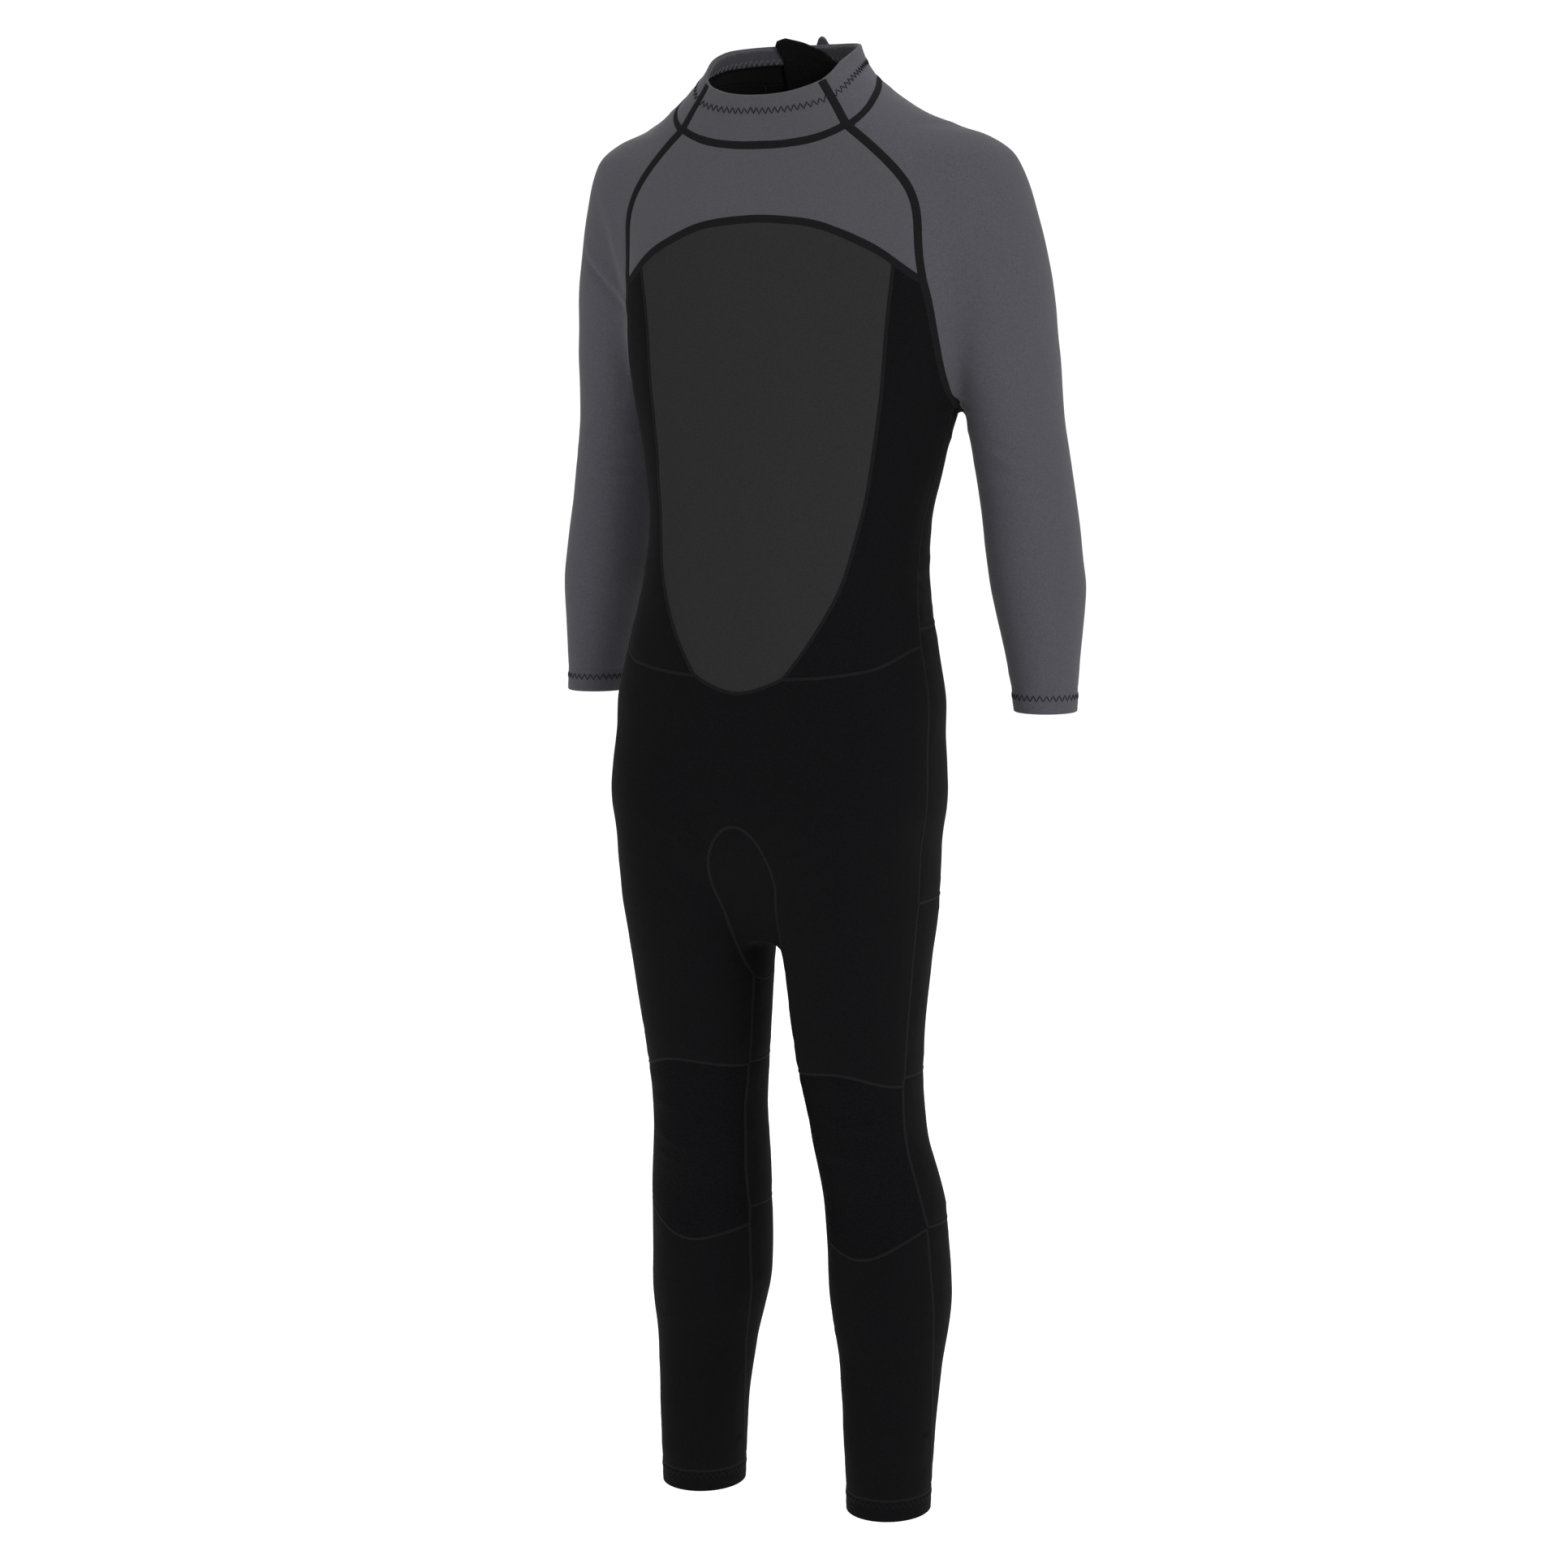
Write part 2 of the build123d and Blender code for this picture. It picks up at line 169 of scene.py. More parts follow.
def limb_gap(p, rows, side):
    """Rough signed distance to one arm or leg, with a rounded top."""
    across, mid, half, deep = smooth_rows(rows, p[:, 2])
    dx, dy = p[:, 0] - side * across, p[:, 1] - mid
    share = np.hypot(dx / half, dy / deep) + 1e-9
    gap = np.hypot(dx, dy) * (1 - 1 / share)
    cap = p[:, 2] - rows[0][0]
    h = np.clip(0.5 + 0.5 * (gap - cap) / CAP_SOFTNESS, 0, 1)
    return gap * h + cap * (1 - h) + CAP_SOFTNESS * h * (1 - h)


def skin_gap(p):
    """Signed distance to the whole suit, with its tubes flowing into each other."""
    heights, soft = np.array(SOFTNESS, float).T
    k = np.interp(p[:, 2], heights, soft)
    gap = torso_gap(p)
    for rows in (ARM, LEG):
        for _, side in SIDES:
            other = limb_gap(p, rows, side)
            h = np.clip(0.5 + 0.5 * (gap - other) / k, 0, 1)
            gap = gap * (1 - h) + other * h - k * h * (1 - h)
    return gap


def skin_slope(p):
    """The outward direction of the suit's surface."""
    step = 0.5
    axes = np.eye(3) * step
    slope = np.stack([skin_gap(p + a) - skin_gap(p - a) for a in axes], 1) / (2 * step)
    return slope / (np.linalg.norm(slope, axis=1)[:, None] + 1e-9)


def on_skin(p, rounds=3):
    for _ in range(rounds):
        p = p - skin_slope(p) * np.clip(skin_gap(p), -6, 6)[:, None]
    return p


def tube(rows, kind, side=1):
    """A closed tube through the cross-sections, as rings of points and faces."""
    low, high = min(r[0] for r in rows), max(r[0] for r in rows)
    low_end = low - (EXTRA if kind != "torso" else 0)
    levels = np.arange(low_end, high + 0.1, 6.0)
    around = np.linspace(0, 2 * math.pi, 96, endpoint=False)
    values = smooth_rows(rows, levels)
    if kind == "torso":
        mid, half, front, back, power = values
        across = np.zeros_like(mid)
    else:
        across, mid, half, front = values
        back, power = front, np.full_like(front, 2.0)
    points = []
    for i, z in enumerate(levels):
        c, s = np.cos(around), np.sin(around)
        bend = 2 / power[i]
        x = half[i] * np.sign(c) * np.abs(c) ** bend + side * across[i]
        y = np.where(s < 0, front[i], back[i]) * np.sign(s) * np.abs(s) ** bend + mid[i]
        points.append(np.stack([x, y, np.full_like(x, z)], 1))
    n, m = len(levels), len(around)
    faces = [face for i in range(n - 1) for face in ring_faces(i * m, (i + 1) * m, m)]
    faces += end_faces(0, (n - 1) * m, m)
    return np.concatenate(points), faces


def ring_faces(a, b, m):
    """The faces between a ring of m points that starts at a and one that starts at b."""
    return [(a + k, a + (k + 1) % m, b + (k + 1) % m, b + k) for k in range(m)]


def end_faces(a, b, m):
    """The closing faces of the first ring and of the last."""
    return [tuple(reversed(range(a, a + m))), tuple(range(b, b + m))]


def new_mesh(name, points, faces):
    mesh = bpy.data.meshes.new(name)
    mesh.from_pydata([tuple(p) for p in points], [], faces)
    mesh.update()
    return mesh


def base_skin():
    """The suit's outer surface as one mesh of even triangles, in mm above the hems."""
    points, faces, start = [], [], 0
    parts = [tube(TORSO, "torso")] + [tube(rows, "limb", side) for rows in (ARM, LEG) for _, side in SIDES]
    for p, f in parts:
        points.append(p)
        faces += [tuple(v + start for v in face) for face in f]
        start += len(p)
    skin = bpy.data.objects.new("base_skin", new_mesh("base_skin", np.concatenate(points), faces))
    bpy.context.scene.collection.objects.link(skin)
    remesh = skin.modifiers.new("remesh", "REMESH")
    remesh.mode = "VOXEL"
    remesh.voxel_size = VOXEL
    mesh = bpy.data.meshes.new_from_object(skin.evaluated_get(bpy.context.evaluated_depsgraph_get()))
    bpy.data.objects.remove(skin)
    points = np.empty(len(mesh.vertices) * 3)
    mesh.vertices.foreach_get("co", points)
    points = points.reshape(-1, 3)
    quads = np.array([tuple(f.vertices) for f in mesh.polygons if len(f.vertices) == 4])
    threes = np.array([tuple(f.vertices) for f in mesh.polygons if len(f.vertices) == 3]).reshape(-1, 3)
    points = on_skin(points)
    edges = np.array([tuple(e.vertices) for e in mesh.edges])
    for _ in range(3):
        points = on_skin(relaxed(points, edges, 0.6), 1)
    points = on_skin(points, 2)
    a, b, c, d = quads.T
    short = np.linalg.norm(points[a] - points[c], axis=1) < np.linalg.norm(points[b] - points[d], axis=1)
    first = np.where(short[:, None], np.stack([a, b, c], 1), np.stack([a, b, d], 1))
    second = np.where(short[:, None], np.stack([a, c, d], 1), np.stack([b, c, d], 1))
    return points, np.concatenate([first, second, threes]).astype(int)


def relaxed(points, edges, share):
    """Each point moved towards the middle of its neighbours."""
    total = np.zeros_like(points)
    count = np.zeros(len(points))
    for a, b in (edges.T, edges.T[::-1]):
        np.add.at(total, a, points[b])
        np.add.at(count, a, 1)
    return points * (1 - share) + total / count[:, None] * share


# ---------------------------------------------------------------- cutting the skin into panels
def cad_surface(nodes):
    """The CAD nodes' faces as one search tree, in mm above the hems."""
    points, faces = [], []
    for name in nodes:
        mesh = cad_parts[name].data
        start = len(points)
        points += [tuple(np.array(v.co) / MM + NECK) for v in mesh.vertices]
        faces += [[v + start for v in face.vertices] for face in mesh.polygons]
    return BVHTree.FromPolygons(points, faces)


def suit_box(node):
    low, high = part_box(node)
    return np.array(low) / MM + NECK, np.array(high) / MM + NECK


def three_edges(faces):
    """The directed edges of triangles: all first ones, then all second ones, then all third ones."""
    return np.concatenate([faces[:, [0, 1]], faces[:, [1, 2]], faces[:, [2, 0]]])


class Skin:
    """A mesh of triangles with a panel name on each; cutting keeps it without cracks."""

    def __init__(self, points, faces):
        self.points, self.faces = points, faces
        self.panel = np.full(len(faces), "rest", dtype="<U24")

    def cut(self, active, field, name):
        """Gives this panel name to the part of the active faces where the field is above 0."""
        faces, f = self.faces, field.copy()
        live = np.zeros(len(self.points), bool)
        live[faces[active].ravel()] = True
        f[~live] = np.nan
        pairs = np.unique(np.sort(three_edges(faces[active]), 1), axis=0)
        a, b = pairs.T
        crossing = f[a] * f[b] < 0
        a, b = a[crossing], b[crossing]
        share = f[a] / (f[a] - f[b])
        early, late = share < SNAP, share > 1 - SNAP
        near = np.concatenate([np.stack([a, b], 1)[early], np.stack([b, a], 1)[late]])
        close = np.concatenate([share[early], 1 - share[late]])
        moved = set()
        for k in np.argsort(close, kind="stable"):
            v, w = near[k]
            if v not in moved:
                moved.add(int(v))
                self.points[v] = self.points[v] + (self.points[w] - self.points[v]) * close[k]
                f[v] = 0.0
        crossing = f[a] * f[b] < 0
        a, b = a[crossing], b[crossing]
        share = (f[a] / (f[a] - f[b]))[:, None]
        middle = {}
        for k, (v, w) in enumerate(zip(a.tolist(), b.tolist())):
            middle[v, w] = middle[w, v] = len(self.points) + k
        self.points = np.concatenate([self.points, self.points[a] * (1 - share) + self.points[b] * share])
        f = np.concatenate([f, np.zeros(len(a))])
        touched = np.zeros(len(self.points), bool)
        touched[a], touched[b] = True, True
        candidates = touched[faces].sum(1) >= 2
        added, panels, live_now, kept = [], [], [], np.ones(len(faces), bool)
        for i in np.flatnonzero(candidates):
            corners = faces[i].tolist()
            marks = [middle.get((corners[k], corners[(k + 1) % 3])) for k in range(3)]
            count = sum(mark is not None for mark in marks)
            if not count:
                continue
            kept[i] = False
            if count == 1:
                k = next(k for k in range(3) if marks[k] is not None)
                u, v, w, m = corners[k], corners[(k + 1) % 3], corners[(k + 2) % 3], marks[k]
                pieces = [(u, m, w), (m, v, w)]
            else:
                k = next(k for k in range(3) if marks[k] is not None and marks[(k + 2) % 3] is not None)
                u, v, w = corners[k], corners[(k + 1) % 3], corners[(k + 2) % 3]
                m, n = marks[k], marks[(k + 2) % 3]
                pieces = [(u, m, n), (m, v, n), (v, w, n)]
            added += pieces
            panels += [self.panel[i]] * len(pieces)
            live_now += [active[i]] * len(pieces)
        new_active = np.concatenate([active[kept], np.array(live_now, bool)])
        self.faces = np.concatenate([faces[kept], np.array(added, int).reshape(-1, 3)])
        self.panel = np.concatenate([self.panel[kept], np.array(panels, dtype="<U24")])
        total = np.nansum(f[self.faces], axis=1)
        self.panel[new_active & (total > 0)] = name

    def within(self, low, high, margin):
        """The uncut faces that have a corner inside a box."""
        inside = np.all((self.points > low - margin) & (self.points < high + margin), axis=1)
        return (self.panel == "rest") & inside[self.faces].any(1)

    def normals(self):
        p, f = self.points, self.faces
        across = np.cross(p[f[:, 1]] - p[f[:, 0]], p[f[:, 2]] - p[f[:, 0]])
        total = np.zeros_like(p)
        for k in range(3):
            np.add.at(total, f[:, k], across)
        return total / (np.linalg.norm(total, axis=1)[:, None] + 1e-12)


def collar_height(points):
    """The height of the collar's rim at each point's depth."""
    depth = np.clip(points[:, 1], COLLAR_TOP[0][0], COLLAR_TOP[-1][0])
    return smooth_rows(COLLAR_TOP, depth)[0]


def trim_openings(skin):
    """Takes away what lies past the collar, the wrists and the ankles, and the opening for the zip."""
    top = skin.points[:, 2] - collar_height(skin.points)
    skin.cut(skin.within(np.array([-200, -200, 1380]), np.array([200, 200, 1520]), 0), top, "gone")
    for node in ("wrist_cuff_left", "wrist_cuff_right", "ankle_cuff_left", "ankle_cuff_right"):
        low, high = suit_box(node)
        low[2] -= 2 * EXTRA
        skin.cut(skin.within(low, high, 6), suit_box(node)[0][2] - skin.points[:, 2], "gone")
    low, high = suit_box("zip_tape_left")
    p = skin.points
    slot = np.minimum(high[0] - np.abs(p[:, 0]), np.minimum(p[:, 2] - low[2], high[2] - p[:, 2]))
    area = skin.within(np.array([-high[0], 50, low[2]]), np.array([high[0], 200, high[2]]), 8)
    skin.cut(area, slot, "gone")


def sewn_panels():
    """Visual panel: the CAD nodes that it stands for, in the order of cutting."""
    panels = {"collar_front": ["collar_front"], "chest_yoke": ["chest_yoke"], "chest_panel": ["chest_panel"],
              "crotch_gusset": ["crotch_gusset"], "lower_front": ["lower_front"]}
    for side, _ in SIDES:
        panels[f"sleeve_{side}"] = [f"{part}_{side}" for part in ("sleeve", "elbow", "forearm")]
        for part in ("collar_side", "wrist_cuff", "ankle_cuff", "side_panel", "back_panel", "seat",
                     "thigh_back", "knee_back", "knee_panel", "shin", "calf"):
            panels[f"{part}_{side}"] = [f"{part}_{side}"]
    return panels


REACH = 14.0                          # how far a face may be from its CAD node, mm


def cut_panels(skin):
    """Gives each face the panel whose CAD node is nearer than any other."""
    panels = sewn_panels()
    names = list(panels)
    trees = {name: cad_surface(nodes) for name, nodes in panels.items()}
    boxes = {}
    for name, nodes in panels.items():
        sizes = [suit_box(node) for node in nodes]
        boxes[name] = np.min([low for low, _ in sizes], 0), np.max([high for _, high in sizes], 0)
    for i, name in enumerate(names[:-1]):
        low, high = boxes[name]
        area = skin.within(low, high, 10)
        nearby = [other for other in names[i + 1:]
                  if np.all(boxes[other][0] < high + 12) and np.all(boxes[other][1] > low - 12)]
        field = np.full(len(skin.points), -1.0)
        for v in np.unique(skin.faces[area]):
            point = Vector(skin.points[v])
            own = trees[name].find_nearest(point)[3]
            gap, other = -own, own
            if own < REACH:
                found = [trees[near].find_nearest(point, REACH)[3] for near in nearby]
                other = min([distance for distance in found if distance is not None], default=REACH)
                gap = other - own
            field[v] = math.copysign(math.sqrt(gap * gap + 2 * abs(gap) * min(own, other)), gap)
        skin.cut(area, field, name)
    skin.panel[skin.panel == "rest"] = names[-1]
    return panels


# ---------------------------------------------------------------- folds
def noise_at(points, size, seed):
    """Smooth noise, about -1 to 1, with features of this size in mm (one number or three)."""
    spread = points / np.array(size, float) + seed * 7.31
    return np.array([noise.noise(Vector(p)) for p in spread]) * 1.6


def window(points, middle, radius):
    """1 at the middle of an ellipsoid, fading to 0 at its edge."""
    far = np.sqrt((((points - np.array(middle, float)) / np.array(radius, float)) ** 2).sum(1))
    return np.clip(1 - far, 0, 1) ** 2 * (1 + 2 * np.clip(far, 0, 1))


def creases(points, pitch, lean, seed):
    """Rows of soft ridges about pitch mm apart, along a slanted, wandering line."""
    wander = noise_at(points, (70, 70, 55), seed) * pitch * 0.8
    across = points[:, 2] + lean[0] * points[:, 0] + lean[1] * points[:, 1] + wander
    return -np.abs(np.sin(math.pi * across / pitch)) ** 0.8 + 0.6


def pleat(points, start, end, reach, width):
    """One crisp drag fold along a line seen from the front: a ridge with a valley under it."""
    (x0, z0), (x1, z1) = start, end
    length = math.hypot(x1 - x0, z1 - z0)
    ax, az = (x1 - x0) / length, (z1 - z0) / length
    along = (points[:, 0] - x0) * ax + (points[:, 2] - z0) * az
    aside = (points[:, 2] - z0) * ax - (points[:, 0] - x0) * az
    aside = aside + 1.5 * noise_at(points, 45, 21)
    fade = np.clip(1 - (np.abs(along - length / 2) / (length / 2 + reach)) ** 2, 0, 1)
    front = np.clip((40 - points[:, 1]) / 40, 0, 1)
    shape = np.exp(-(aside / width) ** 2) - 0.8 * np.exp(-((aside + 1.5 * width) / width) ** 2)
    return shape * fade * front


# Creases on each side: depth, middle and reach of the place, pitch, lean, and the seed of their wander.
CREASES = [
    (2.0, (222, 28, 1052), (60, 60, 75), 22, (0.25, 0.1), 3),     # elbow
    (1.5, (168, 40, 1120), (55, 90, 90), 24, (1.1, 0.2), 5),      # under the arm
    (2.2, (90, 75, 385), (75, 60, 80), 26, (0.15, 0.0), 7),       # back of the knee
    (1.5, (95, -50, 395), (80, 60, 75), 34, (0.2, 0.0), 9),       # front of the knee
    (1.3, (100, 0, 200), (80, 90, 110), 46, (0.25, 0.1), 19),     # shin
    (2.2, (60, -95, 690), (75, 60, 95), 30, (-0.8, 0.0), 11),     # crotch
    (1.2, (90, 100, 650), (90, 60, 70), 30, (0.3, 0.0), 13),      # below the seat
    (1.2, (140, 10, 960), (60, 130, 70), 26, (0.1, 0.3), 15),     # waist
    (1.0, (105, 20, 60), (60, 60, 60), 24, (0.1, 0.2), 17),       # ankle
]
PLEATS = ((1, 0.8), (-1, 3.0))        # side, depth of the armpit's drag folds


def folds(points):
    """How far the neoprene stands off the plain shape, in mm."""
    out = 0.9 * noise_at(points, (90, 90, 130), 1) + 0.35 * noise_at(points, 34, 2)
    for _, side in SIDES:
        mirrored = points * np.array([side, 1, 1])
        for depth, middle, radius, pitch, lean, seed in CREASES:
            out += depth * window(mirrored, middle, radius) * creases(mirrored, pitch, lean, seed + side)
    for side, depth in PLEATS:
        out += depth * pleat(points, (side * 215, 1268), (side * 165, 1215), 18, 5.5)
        out += 0.6 * depth * pleat(points, (side * 190, 1318), (side * 163, 1240), 18, 9)
    return out


# ---------------------------------------------------------------- seams
def shared_edges(skin):
    """Every edge between two panels: (its two points, its two panels)."""
    f = skin.faces
    pairs = np.sort(three_edges(f), 1)
    owner = np.tile(np.arange(len(f)), 3)
    order = np.lexsort((pairs[:, 1], pairs[:, 0]))
    pairs, owner = pairs[order], owner[order]
    same = np.all(pairs[1:] == pairs[:-1], axis=1)
    first, second = owner[:-1][same], owner[1:][same]
    differ = skin.panel[first] != skin.panel[second]
    return pairs[:-1][same][differ], np.stack([skin.panel[first], skin.panel[second]], 1)[differ]


def neighbours(pairs):
    near = {}
    for a, b in pairs.tolist():
        near.setdefault(a, []).append(b)
        near.setdefault(b, []).append(a)
    return near


def chains(edges):
    """Edges joined end to end, as lists of points; a loop ends at its first point."""
    near = neighbours(edges)
    left = {(min(e), max(e)) for e in edges.tolist()}
    found = []
    for start in sorted(near, key=lambda v: (len(near[v]) == 2, v)):
        for first in near[start]:
            line, ahead = [start], first
            while ahead is not None and (min(line[-1], ahead), max(line[-1], ahead)) in left:
                left.discard((min(line[-1], ahead), max(line[-1], ahead)))
                line.append(ahead)
                onward = [n for n in near[ahead] if (min(n, ahead), max(n, ahead)) in left]
                ahead = onward[0] if len(near[ahead]) == 2 and onward else None
            if len(line) > 4:
                found.append(line)
    return found


def spread_along(spots, at, values):
    """The vectors at these lengths along a line, from those given at other lengths."""
    return np.stack([np.interp(spots, at, values[:, k]) for k in range(3)], 1)


def even_line(points, normals, step, rounds=6):
    """A smoothed line through the points with even steps, and the skin's normal at each."""
    closed = np.allclose(points[0], points[-1])
    for _ in range(rounds):
        for values in (points, normals):
            middle = (values[:-2] + values[2:]) / 2
            values[1:-1] = values[1:-1] * 0.5 + middle * 0.5
            if closed:
                values[0] = values[-1] = values[0] * 0.5 + (values[1] + values[-2]) * 0.25
    length = np.concatenate([[0], np.cumsum(np.linalg.norm(np.diff(points, axis=0), axis=1))])
    count = max(3, int(round(length[-1] / step)) + 1)
    at = np.linspace(0, length[-1], count)
    points, normals = spread_along(at, length, points), spread_along(at, length, normals)
    ahead = np.gradient(points, axis=0)
    if closed:
        ahead[0] = ahead[-1] = points[1] - points[-2]
    ahead /= np.linalg.norm(ahead, axis=1)[:, None] + 1e-12
    normals -= ahead * (normals * ahead).sum(1)[:, None]
    normals /= np.linalg.norm(normals, axis=1)[:, None] + 1e-12
    return points, normals, np.cross(normals, ahead), at, closed


def lines_between(chosen, step):
    """The lines where the panels of each chosen pair meet, as even lines."""
    wanted = np.zeros(len(edges), bool)
    for first, second in chosen:
        forward = np.char.startswith(owners[:, 0], first) & np.char.startswith(owners[:, 1], second)
        backward = np.char.startswith(owners[:, 1], first) & np.char.startswith(owners[:, 0], second)
        wanted |= forward | backward
    return [even_line(skin.points[line], normals[line], step) for line in chains(edges[wanted])]


# ---------------------------------------------------------------- making meshes
def make_object(name, points, faces, materials, slots=None, sharp=None):
    """An object from points in mm above the hems, as metres round the neck opening."""
    mesh = bpy.data.meshes.new(name)
    faces = [tuple(int(v) for v in face) for face in faces]
    mesh.from_pydata([tuple(p) for p in (np.asarray(points, float) - NECK) * MM], [], faces)
    for material in materials:
        mesh.materials.append(material)
    mesh.polygons.foreach_set("use_smooth", [True] * len(faces))
    if slots is not None:
        mesh.polygons.foreach_set("material_index", slots)
    if sharp is not None:
        mesh.polygons.foreach_set("use_smooth", [not value for value in sharp])
    mesh.update()
    obj = bpy.data.objects.new(name, mesh)
    bpy.context.scene.collection.objects.link(obj)
    return obj


def open_edges(faces):
    """The directed edges that only one face has."""
    edges = three_edges(faces)
    have = {(a, b) for a, b in edges.tolist()}
    return np.array([e for e in edges.tolist() if (e[1], e[0]) not in have]).reshape(-1, 2)


RIM_ROWS = 5                          # rows of faces across the edge of a panel


def panel_mesh(skin, normals, name, materials, hems, thick=WALL, lift=0.0):
    """A closed piece of neoprene: its face, its lining and its edges, rounded at the hems."""
    mine = skin.faces[skin.panel == name]
    used, faces = np.unique(mine, return_inverse=True)
    faces = faces.reshape(-1, 3)
    n = len(used)
    up = normals[used]
    outer = skin.points[used] + up * lift
    inner = outer - up * thick
    rim = open_edges(faces)
    round_v = hems[used]
    away = np.zeros_like(outer)
    for k in (0, 1):
        out = np.cross(outer[rim[:, 1]] - outer[rim[:, 0]], up[rim[:, k]])
        both = (round_v[rim[:, 0]] & round_v[rim[:, 1]])[:, None]
        np.add.at(away, rim[:, k], out * both)
    away /= np.linalg.norm(away, axis=1)[:, None] + 1e-9
    rim_points = np.unique(rim)
    place_of = np.full(n, -1)
    place_of[rim_points] = np.arange(len(rim_points))
    rows = [outer, inner]
    rings = [rim_points]
    for k in range(1, RIM_ROWS):
        turn = math.pi * k / RIM_ROWS
        middle = (outer + inner)[rim_points] / 2
        ring = middle + up[rim_points] * (thick / 2 * math.cos(turn))
        ring += away[rim_points] * (thick / 2 * math.sin(turn))
        rings.append(np.arange(len(rim_points)) + 2 * n + (k - 1) * len(rim_points))
        rows.append(ring)
    rings.append(rim_points + n)
    all_faces = faces.tolist() + (faces[:, ::-1] + n).tolist()
    slots = [0] * len(faces) + [1] * len(faces)
    sharp = [False] * (2 * len(faces))
    a, b = place_of[rim[:, 0]], place_of[rim[:, 1]]
    hem = round_v[rim[:, 0]] & round_v[rim[:, 1]]
    for k in range(RIM_ROWS):
        upper, lower = rings[k], rings[k + 1]
        all_faces += np.stack([upper[b], upper[a], lower[a], lower[b]], 1).tolist()
        slots += np.where(hem, 0, 2).tolist()
        sharp += (~hem).tolist()
    return make_object(name, np.concatenate(rows), all_faces, materials, slots, sharp)


RIBBON_DEPTH = 0.9                    # how deep a flat seam reaches under the skin, mm


def ribbon(lines, width, height, relief, lift, pitch=2.4, across=8):
    """Flat seams as domed strips with the ridges of their stitches, closed underneath."""
    points, faces = [], []
    side = np.linspace(-1, 1, across + 1)
    start = 0
    for p, normal, out, at, closed in lines:
        rows = len(p)
        dome = height * (1 - 0.75 * side ** 4)
        wave = relief * np.cos(2 * math.pi * (at[:, None] / pitch + np.abs(side)[None] * 0.8))
        wave *= (1 - side ** 2)[None]
        tall = lift + dome[None] + wave
        spread = p[:, None] + out[:, None] * (side * width / 2)[None, :, None]
        top = spread + normal[:, None] * tall[..., None]
        base = spread + normal[:, None] * (lift - RIBBON_DEPTH)
        ring = np.concatenate([top, base[:, ::-1]], 1)
        m = ring.shape[1]
        points.append(ring.reshape(-1, 3))
        last = rows - 1
        for i in range(last):
            j = (i + 1) % (rows - 1) if closed else i + 1
            a, b = start + i * m, start + j * m
            faces += ring_faces(a, b, m)
        if not closed:
            faces += end_faces(start, start + last * m, m)
            start += rows * m
        else:
            points[-1] = points[-1][:last * m]
            start += last * m
    return np.concatenate(points), faces


def threads(lines, swing, pitch, radius, lift=0.15, sides=6):
    """Zigzag stitching along lines, as round thread."""
    points, faces, start = [], [], 0
    around = np.linspace(0, 2 * math.pi, sides, endpoint=False)
    for p, normal, out, at, _ in lines:
        count = max(8, int(at[-1] / pitch) * 4)
        spot = np.linspace(0, at[-1], count + 1)
        centre, up, aside = (spread_along(spot, at, values) for values in (p, normal, out))
        phase = np.arange(count + 1) * math.pi / 2
        zig = 2 / math.pi * np.arcsin(np.sin(phase)) * swing
        dip = lift + 0.15 * np.cos(2 * phase)
        line = centre + aside * zig[:, None] + up * dip[:, None]
        ahead = np.gradient(line, axis=0)
        ahead /= np.linalg.norm(ahead, axis=1)[:, None]
        wide = np.cross(up, ahead)
        wide /= np.linalg.norm(wide, axis=1)[:, None]
        high = np.cross(ahead, wide)
        ring = (line[:, None] + wide[:, None] * (np.cos(around) * radius)[None, :, None]
                + high[:, None] * (np.sin(around) * radius)[None, :, None])
        points.append(ring.reshape(-1, 3))
        for i in range(count):
            faces += ring_faces(start + i * sides, start + (i + 1) * sides, sides)
        faces += end_faces(start, start + count * sides, sides)
        start += (count + 1) * sides
    return np.concatenate(points), faces


# ---------------------------------------------------------------- materials
def new_material(name, colour, rough, sheen=0.0, shine=0.12):
    material = bpy.data.materials.new(name)
    material.use_nodes = True
    shader = material.node_tree.nodes["Principled BSDF"]
    shader.inputs["Base Color"].default_value = (*colour, 1)
    shader.inputs["Roughness"].default_value = rough
    shader.inputs["Specular IOR Level"].default_value = shine
    shader.inputs["Sheen Weight"].default_value = sheen
    shader.inputs["Sheen Roughness"].default_value = 0.5
    return material, material.node_tree, shader


def place(tree):
    """Coordinates in the piece's own space, in metres."""
    return tree.nodes.new("ShaderNodeTexCoord").outputs["Object"]


def noise_node(tree, where, scale, detail):
    found = tree.nodes.new("ShaderNodeTexNoise")
    found.inputs["Scale"].default_value = scale
    found.inputs["Detail"].default_value = detail
    tree.links.new(where, found.inputs["Vector"])
    return found.outputs["Fac"]


def colours_from(tree, value, low, high, start=0.35, end=0.65):
    ramp = tree.nodes.new("ShaderNodeValToRGB")
    ramp.color_ramp.elements[0].position = start
    ramp.color_ramp.elements[1].position = end
    ramp.color_ramp.elements[0].color = (*low, 1)
    ramp.color_ramp.elements[1].color = (*high, 1)
    tree.links.new(value, ramp.inputs["Fac"])
    return ramp.outputs["Color"]


def bump_from(tree, value, strength, distance):
    bump = tree.nodes.new("ShaderNodeBump")
    bump.inputs["Strength"].default_value = strength
    bump.inputs["Distance"].default_value = distance
    tree.links.new(value, bump.inputs["Height"])
    return bump.outputs["Normal"]


def jersey(name, low, high, rough=0.85, sheen=0.12, fine=1400.0, strength=0.35, shine=0.12):
    """A knitted face: two close shades mixed by fine noise, with a soft, grainy relief."""
    material, tree, shader = new_material(name, high, rough, sheen, shine)
    grain = noise_node(tree, place(tree), fine, 3.0)
    tree.links.new(colours_from(tree, grain, low, high), shader.inputs["Base Color"])
    tree.links.new(bump_from(tree, grain, strength, 0.0004), shader.inputs["Normal"])
    return material


